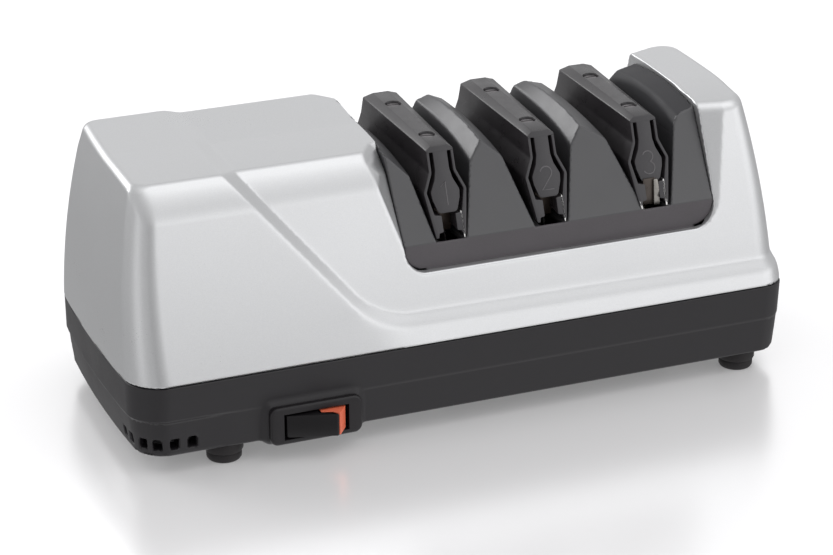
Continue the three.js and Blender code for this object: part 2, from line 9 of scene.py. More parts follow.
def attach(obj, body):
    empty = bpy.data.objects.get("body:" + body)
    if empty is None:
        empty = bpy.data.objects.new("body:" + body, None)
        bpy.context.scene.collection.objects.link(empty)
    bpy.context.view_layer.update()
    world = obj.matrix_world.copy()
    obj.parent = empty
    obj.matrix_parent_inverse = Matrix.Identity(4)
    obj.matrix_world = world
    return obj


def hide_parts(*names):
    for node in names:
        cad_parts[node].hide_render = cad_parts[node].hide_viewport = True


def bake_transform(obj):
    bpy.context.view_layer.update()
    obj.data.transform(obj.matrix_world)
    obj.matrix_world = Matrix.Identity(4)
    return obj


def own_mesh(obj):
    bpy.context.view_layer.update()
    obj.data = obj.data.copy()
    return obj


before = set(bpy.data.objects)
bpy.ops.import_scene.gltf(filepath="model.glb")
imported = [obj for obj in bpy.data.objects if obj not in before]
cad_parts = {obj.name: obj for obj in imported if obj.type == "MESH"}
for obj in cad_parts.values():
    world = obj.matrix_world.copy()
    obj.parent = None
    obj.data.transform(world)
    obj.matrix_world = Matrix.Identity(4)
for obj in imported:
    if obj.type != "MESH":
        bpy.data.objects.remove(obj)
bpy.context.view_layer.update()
MM = 0.001
STAGES = (-3.2, 35.9, 76.4)
SHAFT_Z = 50.0


# ------------------------------------------------------------------ camera
def camera():
    az, el, roll = math.radians(-21.394), math.radians(23.989), math.radians(-0.226)
    back = Vector((math.sin(az) * math.cos(el), -math.cos(az) * math.cos(el), math.sin(el)))
    right = Vector((math.cos(az), math.sin(az), 0))
    up = back.cross(right)
    r = right * math.cos(roll) + up * math.sin(roll)
    u = up * math.cos(roll) - right * math.sin(roll)
    at = Vector((-0.856, 0, 36.405)) * MM + back * 1.0885
    cam = bpy.data.cameras.new("camera")
    cam.sensor_width = 36
    cam.lens = 2931.1 * 36 / 833
    cam.clip_start, cam.clip_end = 0.05, 50
    ob = bpy.data.objects.new("camera", cam)
    ob.matrix_world = Matrix(
        ((r.x, u.x, back.x, at.x), (r.y, u.y, back.y, at.y), (r.z, u.z, back.z, at.z), (0, 0, 0, 1))
    )
    bpy.context.scene.collection.objects.link(ob)
    bpy.context.scene.camera = ob


camera()


# ------------------------------------------------------------------ node helpers
class Tree:
    """Short hand for building a node tree."""

    def __init__(self, tree):
        self.t = tree
        tree.nodes.clear()

    def node(self, kind, **values):
        n = self.t.nodes.new(kind)
        for k, v in values.items():
            setattr(n, k, v)
        return n

    def put(self, socket, value):
        if isinstance(value, bpy.types.NodeSocket):
            self.t.links.new(value, socket)
        elif value is not None:
            socket.default_value = value

    def math(self, op, a, b=None, clamp=False):
        n = self.node("ShaderNodeMath", operation=op, use_clamp=clamp)
        self.put(n.inputs[0], a)
        self.put(n.inputs[1], b)
        return n.outputs[0]

    def dot(self, v, w):
        n = self.node("ShaderNodeVectorMath", operation="DOT_PRODUCT")
        self.put(n.inputs[0], v)
        self.put(n.inputs[1], w)
        return n.outputs["Value"]

    def mix(self, f, a, b):
        n = self.node("ShaderNodeMix", data_type="RGBA")
        self.put(n.inputs["Factor"], f)
        self.put(n.inputs["A"], a)
        self.put(n.inputs["B"], b)
        return n.outputs["Result"]

    def ramp(self, v, a, b, lo, hi, smooth=False):
        n = self.node("ShaderNodeMapRange")
        n.interpolation_type = "SMOOTHSTEP" if smooth else "LINEAR"
        self.put(n.inputs["Value"], v)
        self.put(n.inputs["From Min"], a)
        self.put(n.inputs["From Max"], b)
        self.put(n.inputs["To Min"], lo)
        self.put(n.inputs["To Max"], hi)
        return n.outputs["Result"]

    def noise(self, vector, scale, detail=2.0, rough=0.5, w=None):
        n = self.node("ShaderNodeTexNoise")
        self.put(n.inputs["Vector"], vector)
        self.put(n.inputs["Scale"], scale)
        self.put(n.inputs["Detail"], detail)
        self.put(n.inputs["Roughness"], rough)
        return n.outputs["Fac"]

    def voronoi(self, vector, scale):
        n = self.node("ShaderNodeTexVoronoi")
        self.put(n.inputs["Vector"], vector)
        self.put(n.inputs["Scale"], scale)
        return n


def rgb(r, g, b):
    """sRGB 0..255 as linear."""
    out = []
    for c in (r, g, b):
        c /= 255
        out.append(c / 12.92 if c <= 0.04045 else ((c + 0.055) / 1.055) ** 2.4)
    return (*out, 1.0)


def scaled(c, k):
    return (min(1, c[0] * k), min(1, c[1] * k), min(1, c[2] * k), 1.0)


def material(
    name,
    color,
    rough,
    metallic=0.0,
    spec=0.5,
    vary=0.08,
    vary_scale=120.0,
    grain=1800.0,
    grain_mm=0.02,
    grain_colour=0.06,
    rough_vary=0.06,
    coat=0.0,
    coat_rough=0.1,
    lines=None,
    flakes=0.0,
    peel_mm=0.0,
    stretch=None,
):
    """A procedural finish: broad tone variation, fine grain in colour and bump, and roughness variation."""
    m = bpy.data.materials.new(name)
    m.use_nodes = True
    t = Tree(m.node_tree)
    out = t.node("ShaderNodeOutputMaterial")
    p = t.node("ShaderNodeBsdfPrincipled")
    t.t.links.new(p.outputs[0], out.inputs[0])
    place = t.node("ShaderNodeTexCoord").outputs["Object"]
    if stretch:
        mp = t.node("ShaderNodeMapping")
        t.put(mp.inputs["Vector"], place)
        mp.inputs["Scale"].default_value = stretch
        place = mp.outputs[0]
    broad = t.noise(place, vary_scale, 3.0)
    fine = t.noise(place, grain, 2.0, 0.6)
    tone = t.math(
        "ADD",
        t.ramp(broad, 0.25, 0.75, -vary, vary),
        t.ramp(fine, 0.2, 0.8, -grain_colour, grain_colour),
    )
    if flakes:
        v = t.voronoi(place, 4200.0)
        sep = t.node("ShaderNodeSeparateColor")
        t.put(sep.inputs[0], v.outputs["Color"])
        tone = t.math("ADD", tone, t.ramp(sep.outputs[0], 0, 1, -flakes, flakes))
    col = t.mix(t.ramp(tone, -0.5, 0.5, 0.0, 1.0), scaled(color, 0.5), scaled(color, 1.5))
    t.put(p.inputs["Base Color"], col)
    p.inputs["Metallic"].default_value = metallic
    p.inputs["Specular IOR Level"].default_value = spec
    t.put(
        p.inputs["Roughness"],
        t.math(
            "ADD",
            t.ramp(broad, 0.25, 0.75, rough - rough_vary, rough + rough_vary),
            t.ramp(fine, 0.2, 0.8, -rough_vary, rough_vary),
            clamp=True,
        ),
    )
    if coat:
        p.inputs["Coat Weight"].default_value = coat
        p.inputs["Coat Roughness"].default_value = coat_rough
    normal = None
    if peel_mm:
        b = t.node("ShaderNodeBump")
        b.inputs["Strength"].default_value = 1.0
        b.inputs["Distance"].default_value = peel_mm * MM
        t.put(b.inputs["Height"], t.noise(place, 420.0, 2.0, 0.5))
        normal = b.outputs[0]
    if grain_mm:
        b = t.node("ShaderNodeBump")
        b.inputs["Strength"].default_value = 1.0
        b.inputs["Distance"].default_value = grain_mm * MM
        t.put(b.inputs["Height"], fine)
        if normal:
            t.put(b.inputs["Normal"], normal)
        normal = b.outputs[0]
    if lines:
        axis, pitch, depth = lines
        sep = t.node("ShaderNodeSeparateXYZ")
        t.put(sep.inputs[0], t.node("ShaderNodeTexCoord").outputs["Object"])
        wave = t.math("SINE", t.math("MULTIPLY", sep.outputs[axis], 2 * math.pi / (pitch * MM)))
        b = t.node("ShaderNodeBump")
        b.inputs["Strength"].default_value = 1.0
        b.inputs["Distance"].default_value = depth * MM
        t.put(b.inputs["Height"], wave)
        if normal:
            t.put(b.inputs["Normal"], normal)
        normal = b.outputs[0]
    if normal:
        t.put(p.inputs["Normal"], normal)
    return m


SILVER = material(
    "silver_paint", (0.60, 0.605, 0.610, 1), 0.30, metallic=0.80, vary=0.010, vary_scale=30, grain=2600,
    grain_mm=0.0008, grain_colour=0.02, rough_vary=0.02, flakes=0.025, peel_mm=0.0010,
)
BLACK = material(
    "black_plastic", (0.0135, 0.0120, 0.0140, 1), 0.42, spec=0.44, vary=0.06, vary_scale=60, grain=2200, grain_mm=0.010,
    grain_colour=0.06, rough_vary=0.04,
)
SLATE = material(
    "slate_plastic", (0.034, 0.0335, 0.0365, 1), 0.40, spec=0.95, vary=0.05, vary_scale=90, grain=1900, grain_mm=0.016,
    grain_colour=0.09, rough_vary=0.05,
)
SLATE_MATT = material(
    "slate_matt", (0.034, 0.0335, 0.0365, 1), 0.55, spec=0.30, vary=0.05, vary_scale=90, grain=1900, grain_mm=0.016,
    grain_colour=0.09, rough_vary=0.05,
)
STRIP = material(
    "slate_strip", (0.072, 0.065, 0.071, 1), 0.50, vary=0.05, vary_scale=90, grain=1900, grain_mm=0.016,
    grain_colour=0.09, rough_vary=0.05,
)
GUIDE = material(
    "guide_plastic", (0.020, 0.0175, 0.0195, 1), 0.33, spec=0.72, vary=0.08, vary_scale=200, grain=2000, grain_mm=0.016,
    grain_colour=0.12, rough_vary=0.06,
)
# a paler, flatter copy of the guide plastic for the guides' end faces: painted light on the faces toward the front and
# rear
GUIDE_END_LIT = material(
    "guide_end_painted_light", (0.040, 0.038, 0.041, 1), 0.45, vary=0.06, vary_scale=250, grain=2400, grain_mm=0.010,
    grain_colour=0.08, rough_vary=0.05,
)
RUBBER = material(
    "rubber", (0.013, 0.011, 0.012, 1), 0.62, spec=0.35, vary=0.10, vary_scale=150, grain=2600, grain_mm=0.015,
    grain_colour=0.10, rough_vary=0.08,
)
BEZEL = material(
    "bezel_plastic", (0.012, 0.0105, 0.012, 1), 0.38, spec=0.36, vary=0.05, vary_scale=100, grain=2600, grain_mm=0.006,
    grain_colour=0.05, rough_vary=0.04,
)
ROCKER = material(
    "rocker_black", (0.007, 0.006, 0.007, 1), 0.34, spec=0.30, vary=0.05, vary_scale=100, grain=2600, grain_mm=0.003,
    grain_colour=0.04, rough_vary=0.04,
)
ORANGE = material(
    "rocker_orange", (0.95, 0.15, 0.075, 1), 0.42, vary=0.05, vary_scale=200, grain=2600, grain_mm=0.003,
    grain_colour=0.03, rough_vary=0.04,
)
STEEL = material(
    "bright_steel", (0.62, 0.61, 0.60, 1), 0.26, metallic=1.0, vary=0.06, vary_scale=150, grain=3000,
    grain_mm=0.004, grain_colour=0.05, rough_vary=0.08, stretch=(1, 12, 12),
)
BLACKENED = material(
    "screw_black", (0.15, 0.14, 0.145, 1), 0.36, metallic=0.55, vary=0.10, vary_scale=400, grain=3000,
    grain_mm=0.006, grain_colour=0.08, rough_vary=0.08,
)
IRON = material(
    "dark_steel", (0.22, 0.22, 0.225, 1), 0.42, metallic=0.9, vary=0.12, vary_scale=150, grain=2500,
    grain_mm=0.01, grain_colour=0.10, rough_vary=0.10,
)
LAMINATE = material(
    "laminated_steel", (0.40, 0.40, 0.41, 1), 0.40, metallic=0.9, vary=0.10, vary_scale=120, grain=2500,
    grain_mm=0.008, grain_colour=0.08, rough_vary=0.08, lines=(0, 0.6, 0.05),
)
COPPER = material(
    "copper", (0.60, 0.24, 0.11, 1), 0.32, metallic=0.85, vary=0.12, vary_scale=200, grain=2200, grain_mm=0.008,
    grain_colour=0.08, rough_vary=0.08, lines=(2, 0.5, 0.06),
)
BRONZE = material(
    "bronze", (0.30, 0.19, 0.09, 1), 0.40, metallic=0.85, vary=0.12, vary_scale=300, grain=2600, grain_mm=0.01,
    grain_colour=0.12, rough_vary=0.08,
)
LEAF = material(
    "dark_bronze", (0.050, 0.037, 0.029, 1), 0.38, metallic=0.6, vary=0.15, vary_scale=260, grain=2400,
    grain_mm=0.006, grain_colour=0.10, rough_vary=0.08,
)
LEAF_DARK = material(
    "leaf_dark", (0.10, 0.085, 0.075, 1), 0.36, metallic=0.7, vary=0.15, vary_scale=260, grain=2400,
    grain_mm=0.005, grain_colour=0.08, rough_vary=0.08,
)
LEAF_STEEL = material(
    "leaf_steel", (0.36, 0.345, 0.32, 1), 0.34, metallic=0.9, vary=0.12, vary_scale=260, grain=2400,
    grain_mm=0.004, grain_colour=0.06, rough_vary=0.08,
)
NUMERAL = material(
    "numeral", (0.11, 0.105, 0.11, 1), 0.45, vary=0.05, vary_scale=250, grain=2400, grain_mm=0.006,
    grain_colour=0.06, rough_vary=0.05,
)
DIAMOND = material(
    "diamond_steel", (0.30, 0.29, 0.28, 1), 0.48, metallic=0.8, vary=0.08, vary_scale=300, grain=3600,
    grain_mm=0.03, grain_colour=0.20, rough_vary=0.12,
)
STROP = material(
    "strop_polymer", (0.20, 0.17, 0.12, 1), 0.62, vary=0.12, vary_scale=240, grain=3000, grain_mm=0.03,
    grain_colour=0.18, rough_vary=0.10,
)
MAGNET = material(
    "magnet", (0.05, 0.05, 0.055, 1), 0.5, metallic=0.2, vary=0.12, vary_scale=200, grain=2600, grain_mm=0.012,
    grain_colour=0.12, rough_vary=0.08,
)


# ------------------------------------------------------------------ mesh helpers
def link(name, mesh, mats, body, replaced=()):
    ob = bpy.data.objects.new(name, mesh)
    bpy.context.scene.collection.objects.link(ob)
    for m in mats if isinstance(mats, (list, tuple)) else [mats]:
        ob.data.materials.append(m)
    if body:
        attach(ob, body)
    if replaced:
        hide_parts(*([replaced] if isinstance(replaced, str) else replaced))
    return ob


def applied(ob):
    """The object's mesh with its modifiers applied."""
    bpy.context.view_layer.update()
    dg = bpy.context.evaluated_depsgraph_get()
    mesh = bpy.data.meshes.new_from_object(ob.evaluated_get(dg), preserve_all_data_layers=True, depsgraph=dg)
    old = ob.data
    ob.modifiers.clear()
    ob.data = mesh
    bpy.data.meshes.remove(old)
    return mesh


def smooth(mesh, angle=35):
    mesh.polygons.foreach_set("use_smooth", np.ones(len(mesh.polygons), bool))
    mesh.set_sharp_from_angle(angle=math.radians(angle))


def bevelled(ob, width_mm, segments=2, angle=30, sharp=40):
    b = ob.modifiers.new("edge", "BEVEL")
    b.width = width_mm * MM
    b.segments = segments
    b.limit_method = "ANGLE"
    b.angle_limit = math.radians(angle)
    b.harden_normals = False
    b.miter_outer = "MITER_ARC"
    mesh = applied(ob)
    smooth(mesh, sharp)
    w = ob.modifiers.new("weighted", "WEIGHTED_NORMAL")
    w.keep_sharp = True
    applied(ob)
    return ob


def mesh_of(name, verts, faces):
    """A mesh from points in millimetres."""
    me = bpy.data.meshes.new(name)
    me.from_pydata([tuple(float(c) * MM for c in v) for v in verts], [], [tuple(f) for f in faces])
    me.validate()
    bm = bmesh.new()
    bm.from_mesh(me)
    bmesh.ops.recalc_face_normals(bm, faces=bm.faces)
    bm.to_mesh(me)
    bm.free()
    return me


def dissolved_copy(node, name, mats, body):
    """A copy of a CAD node with its flat faces whole again, so that its edges can be rounded."""
    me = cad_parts[node].data.copy()
    me.materials.clear()
    bm = bmesh.new()
    bm.from_mesh(me)
    bmesh.ops.remove_doubles(bm, verts=bm.verts, dist=1e-6)
    bmesh.ops.dissolve_limit(bm, angle_limit=math.radians(1.0), verts=bm.verts, edges=bm.edges)
    bm.to_mesh(me)
    bm.free()
    if me.has_custom_normals:
        me.normals_split_custom_set([(0, 0, 0)] * len(me.loops))
    return link(name, me, mats, body, node)


def lathe(name, profile, mats, body, axis="z", at=(0, 0, 0), n=64, replaced=(), sharp=35):
    """A closed profile of (radius, height) in millimetres turned about an axis."""
    verts, faces, rings = [], [], []
    for r, h in profile:
        if r < 1e-6:
            rings.append([len(verts)])
            verts.append((0, 0, h))
        else:
            rings.append(list(range(len(verts), len(verts) + n)))
            verts += [(r * math.cos(2 * math.pi * k / n), r * math.sin(2 * math.pi * k / n), h) for k in range(n)]
    closed = profile[0] == profile[-1]
    if closed:
        verts = verts[: len(verts) - n]
        rings[-1] = rings[0]
    for a, b in zip(rings, rings[1:]):
        for k in range(n):
            k2 = (k + 1) % n
            q = []
            for ring, i in ((a, k), (a, k2), (b, k2), (b, k)):
                v = ring[0] if len(ring) == 1 else ring[i]
                if v not in q:
                    q.append(v)
            if len(q) > 2:
                faces.append(q)
    m = {"z": (0, 1, 2), "x": (2, 0, 1), "y": (1, 2, 0)}[axis]
    verts = [tuple(v[m[i]] + at[i] for i in range(3)) for v in verts]
    me = mesh_of(name, verts, faces)
    smooth(me, sharp)
    return link(name, me, mats, body, replaced)


def fillet(points, radius, n=4):
    """A closed outline with its corners rounded; radius is one number or one for each corner."""
    pts = [np.array(p, float) for p in points]
    out = []
    k = len(pts)
    for i, p in enumerate(pts):
        r = radius[i] if isinstance(radius, (list, tuple)) else radius
        a, b = pts[i - 1] - p, pts[(i + 1) % k] - p
        la, lb = np.linalg.norm(a), np.linalg.norm(b)
        a, b = a / la, b / lb
        cos = float(np.clip(a @ b, -1, 1))
        half = math.acos(cos) / 2
        if r <= 0 or half > math.radians(88):
            out.append(p)
            continue
        cut = min(r / math.tan(half), 0.45 * la, 0.45 * lb)
        r = cut * math.tan(half)
        c = p + (a + b) / np.linalg.norm(a + b) * (r / math.sin(half))
        s, e = p + a * cut - c, p + b * cut - c
        a0, a1 = math.atan2(s[1], s[0]), math.atan2(e[1], e[0])
        d = (a1 - a0 + math.pi) % (2 * math.pi) - math.pi
        for j in range(n + 1):
            w = a0 + d * j / n
            out.append(c + r * np.array((math.cos(w), math.sin(w))))
    return [tuple(p) for p in out]


def offset(points, d):
    """A closed outline moved inwards by d, for either direction of travel."""
    p = np.array(points, float)
    area = 0.5 * np.sum(p[:, 0] * np.roll(p[:, 1], -1) - np.roll(p[:, 0], -1) * p[:, 1])
    e0 = p - np.roll(p, 1, 0)
    e1 = np.roll(p, -1, 0) - p
    n0 = np.stack((-e0[:, 1], e0[:, 0]), 1) / np.linalg.norm(e0, axis=1)[:, None]
    n1 = np.stack((-e1[:, 1], e1[:, 0]), 1) / np.linalg.norm(e1, axis=1)[:, None]
    if area < 0:
        n0, n1 = -n0, -n1
    m = n0 + n1
    m /= np.maximum(np.linalg.norm(m, axis=1), 1e-6)[:, None]
    k = d / np.maximum(np.sum(m * n1, axis=1), 0.5)
    return [tuple(q) for q in p + m * k[:, None]]


def prism(name, outline, station, mats, body, axis="y", inset=0.25, replaced=(), sharp=35, middle=1, steps=2, warp=None):
    """An outline carried between two ends, with the ends' edges eased. station(share, u, v) places a point of the
    outline at a share 0..1 of the way; the outline is (x, z) along y, (x, y) along z, (y, z) along x."""
    rings, n = [], len(outline)
    shares = []
    for k in range(steps + 1):
        a = (math.pi / 2) * k / steps
        shares.append(("lo", inset * (1 - math.sin(a)), inset * (1 - math.cos(a))))
    for k in range(1, middle):
        shares.append(("mid", 0.0, k / middle))
    for k in range(steps, -1, -1):
        a = (math.pi / 2) * k / steps
        shares.append(("hi", inset * (1 - math.sin(a)), inset * (1 - math.cos(a))))
    verts, faces = [], []
    for where, ins, along in shares:
        ring = offset(outline, ins) if ins > 1e-6 else outline
        start = len(verts)
        for u, v in ring:
            lo, hi = station(u, v)
            s = lo + along if where == "lo" else hi - along if where == "hi" else lo + (hi - lo) * along
            p = {"y": (u, s, v), "z": (u, v, s), "x": (s, u, v)}[axis]
            verts.append(warp(*p) if warp else p)
        rings.append(list(range(start, start + n)))
    for a, b in zip(rings, rings[1:]):
        for k in range(n):
            k2 = (k + 1) % n
            faces.append((a[k], a[k2], b[k2], b[k]))
    faces.append(tuple(rings[0][::-1]))
    faces.append(tuple(rings[-1]))
    me = mesh_of(name, verts, faces)
    bm = bmesh.new()
    bm.from_mesh(me)
    bmesh.ops.triangulate(bm, faces=[f for f in bm.faces if len(f.verts) > 4], ngon_method="EAR_CLIP")
    bm.to_mesh(me)
    bm.free()
    smooth(me, sharp)
    return link(name, me, mats, body, replaced)


def rounded_rect(x0, x1, y0, y1, r, n=5):
    return fillet([(x0, y0), (x1, y0), (x1, y1), (x0, y1)], r, n)


# ------------------------------------------------------------------ implicit shapes
def rmax(a, b, r):
    """Both, with the edge rounded at radius r."""
    return np.minimum(np.maximum(a, b), -r) + np.hypot(np.maximum(a + r, 0), np.maximum(b + r, 0))


def rmin(a, b, r):
    return -rmax(-a, -b, r)


def step(t):
    t = np.clip(t, 0, 1)
    return t * t * (3 - 2 * t)


def soft(v, k):
    """max(v, 0) with a rounded start."""
    return 0.5 * (v + np.sqrt(v * v + k * k))


def poly(u, v, pts):
    """Signed distance to a closed outline, below zero inside."""
    d = np.full(u.shape, 1e12)
    s = np.ones(u.shape, bool)
    for i in range(len(pts)):
        (ax, ay), (bx, by) = pts[i], pts[(i + 1) % len(pts)]
        ex, ey = bx - ax, by - ay
        wx, wy = u - ax, v - ay
        t = np.clip((wx * ex + wy * ey) / (ex * ex + ey * ey), 0, 1)
        d = np.minimum(d, (wx - ex * t) ** 2 + (wy - ey * t) ** 2)
        c1, c2, c3 = v >= ay, v < by, ex * wy > ey * wx
        s ^= (c1 & c2 & c3) | ~(c1 | c2 | c3)
    return np.where(s, 1.0, -1.0) * np.sqrt(d)


def box(x, y, z, x0, x1, y0, y1, z0, z1, r=0.0):
    qx = np.abs(x - (x0 + x1) / 2) - (x1 - x0) / 2 + r
    qy = np.abs(y - (y0 + y1) / 2) - (y1 - y0) / 2 + r
    qz = np.abs(z - (z0 + z1) / 2) - (z1 - z0) / 2 + r
    out = np.sqrt(np.maximum(qx, 0) ** 2 + np.maximum(qy, 0) ** 2 + np.maximum(qz, 0) ** 2)
    return out + np.minimum(np.maximum(np.maximum(qx, qy), qz), 0) - r


def net(f, lo, hi, h):
    """The zero surface of f on a grid as quads (surface nets), in millimetres."""
    axes = [np.arange(lo[i], hi[i] + h, h) for i in range(3)]
    F = np.empty([len(a) for a in axes], np.float32)
    for i in range(0, len(axes[0]), 24):
        F[i : i + 24] = f(*np.meshgrid(axes[0][i : i + 24], axes[1], axes[2], indexing="ij"))
    S = F < 0
    n = [s - 1 for s in F.shape]
    count = np.zeros(n, np.int8)
    for c in np.ndindex(2, 2, 2):
        count += S[c[0] : c[0] + n[0], c[1] : c[1] + n[1], c[2] : c[2] + n[2]]
    cells = np.argwhere((count > 0) & (count < 8))
    index = np.full(n, -1, np.int32)
    index[tuple(cells.T)] = np.arange(len(cells))
    total = np.zeros((len(cells), 3))
    hits = np.zeros(len(cells))
    corners = list(np.ndindex(2, 2, 2))
    for a in corners:
        for k in range(3):
            if a[k]:
                continue
            b = list(a)
            b[k] = 1
            fa = F[tuple((cells + a).T)]
            fb = F[tuple((cells + b).T)]
            m = (fa < 0) != (fb < 0)
            t = fa[m] / (fa[m] - fb[m])
            p = (cells[m] + a).astype(float)
            p[:, k] += t
            total[m] += p
            hits[m] += 1
    points = total / hits[:, None] * h + np.array([a[0] for a in axes])
    quads = []
    for k in range(3):
        b, c = (k + 1) % 3, (k + 2) % 3
        lower = [slice(None)] * 3
        upper = [slice(None)] * 3
        lower[k], upper[k] = slice(0, -1), slice(1, None)
        here, there = S[tuple(lower)], S[tuple(upper)]
        at = np.argwhere(here != there)
        at = at[(at[:, b] > 0) & (at[:, c] > 0) & (at[:, b] < S.shape[b] - 1) & (at[:, c] < S.shape[c] - 1)]
        inside = here[tuple(at.T)]
        ids = []
        for ob, oc in ((-1, -1), (0, -1), (0, 0), (-1, 0)):
            q = at.copy()
            q[:, b] += ob
            q[:, c] += oc
            ids.append(index[tuple(q.T)])
        quad = np.stack(ids, 1)
        quad[~inside] = quad[~inside][:, ::-1]
        quads.append(quad)
    return points, np.concatenate(quads)


def slope(f, p, e=0.04):
    g = np.empty_like(p)
    for k in range(3):
        a, b = p.copy(), p.copy()
        a[:, k] += e
        b[:, k] -= e
        g[:, k] = (f(*a.T) - f(*b.T)) / (2 * e)
    return g


def onto(f, p, h, rounds=3):
    for _ in range(rounds):
        v = f(*p.T)
        g = slope(f, p)
        move = g * (v / np.maximum(np.sum(g * g, 1), 0.05))[:, None]
        far = np.linalg.norm(move, axis=1)
        move *= np.minimum(1, 0.5 * h / np.maximum(far, 1e-9))[:, None]
        p = p - move
    return p


def unfolded(f, me, p, h):
    """Points of faces that look the wrong way, moved to the middle of their neighbours."""
    e = np.empty(len(me.edges) * 2, np.int32)
    me.edges.foreach_get("vertices", e)
    e = e.reshape(-1, 2)
    for _ in range(6):
        me.vertices.foreach_set("co", (p * MM).ravel())
        me.update()
        n = np.empty(len(me.polygons) * 3)
        mid = np.empty(len(me.polygons) * 3)
        me.polygons.foreach_get("normal", n)
        me.polygons.foreach_get("center", mid)
        n, mid = n.reshape(-1, 3), mid.reshape(-1, 3) / MM
        g = slope(f, mid, 0.2)
        wrong = np.where(np.sum(n * g, 1) < 0.35 * np.linalg.norm(g, axis=1))[0]
        if not len(wrong):
            break
        pts = np.unique(np.concatenate([np.array(me.polygons[int(i)].vertices) for i in wrong]))
        total, hits = np.zeros_like(p), np.zeros(len(p))
        for a, b in ((0, 1), (1, 0)):
            np.add.at(total, e[:, a], p[e[:, b]])
            np.add.at(hits, e[:, a], 1)
        q = p.copy()
        q[pts] = 0.4 * p[pts] + 0.6 * total[pts] / hits[pts, None]
        q[pts] = onto(f, q[pts], 0.3 * h, 1)
        p = q
    print("folded faces left", len(wrong))
    return p


def implicit(name, f, lo, hi, h, ratio, mats, body, replaced, pick=None):
    points, quads = net(f, lo, hi, h)
    points = onto(f, points, h)
    me = bpy.data.meshes.new(name)
    me.vertices.add(len(points))
    me.vertices.foreach_set("co", (points * MM).ravel())
    me.loops.add(len(quads) * 4)
    me.loops.foreach_set("vertex_index", quads.ravel().astype(np.int32))
    me.polygons.add(len(quads))
    me.polygons.foreach_set("loop_start", np.arange(0, len(quads) * 4, 4, dtype=np.int32))
    me.update(calc_edges=True)
    ob = link(name, me, mats, None)
    if ratio < 1:
        d = ob.modifiers.new("thin", "DECIMATE")
        d.ratio = ratio
        applied(ob)
    me = ob.data
    co = np.empty(len(me.vertices) * 3, np.float64)
    me.vertices.foreach_get("co", co)
    p = onto(f, co.reshape(-1, 3) / MM, h, 2)
    p = unfolded(f, me, p, h)
    me.vertices.foreach_set("co", (p * MM).ravel())
    me.update()
    me.polygons.foreach_set("use_smooth", np.ones(len(me.polygons), bool))
    g = slope(f, p)
    g /= np.maximum(np.linalg.norm(g, axis=1), 1e-9)[:, None]
    if pick:
        mid = np.empty(len(me.polygons) * 3)
        me.polygons.foreach_get("center", mid)
        me.polygons.foreach_set("material_index", pick(*(mid.reshape(-1, 3) / MM).T).astype(np.int32))
    me.normals_split_custom_set_from_vertices(g)
    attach(ob, body)
    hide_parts(replaced)
    print(name, len(me.vertices), "points", len(me.polygons), "faces")
    return ob


# ------------------------------------------------------------------ silver cover
def fit(z, a, b, c):
    t = z - 34.9
    return a + b * t + c * t * t


def wall_left(z):
    t = z - 62
    return -20.8 - 0.10 * t + 0.0010 * t * t


def wall_right(z):
    return 100.2 - 0.045 * (z - 68)


def plan(x, y, side, left, right, rl, rr):
    bl = np.hypot(x + left - 560, y) - 560
    br = np.hypot(x - (right - 2200), y) - 2200
    return np.where(x < 0, rmax(side, bl, rl), rmax(side, br, rr))


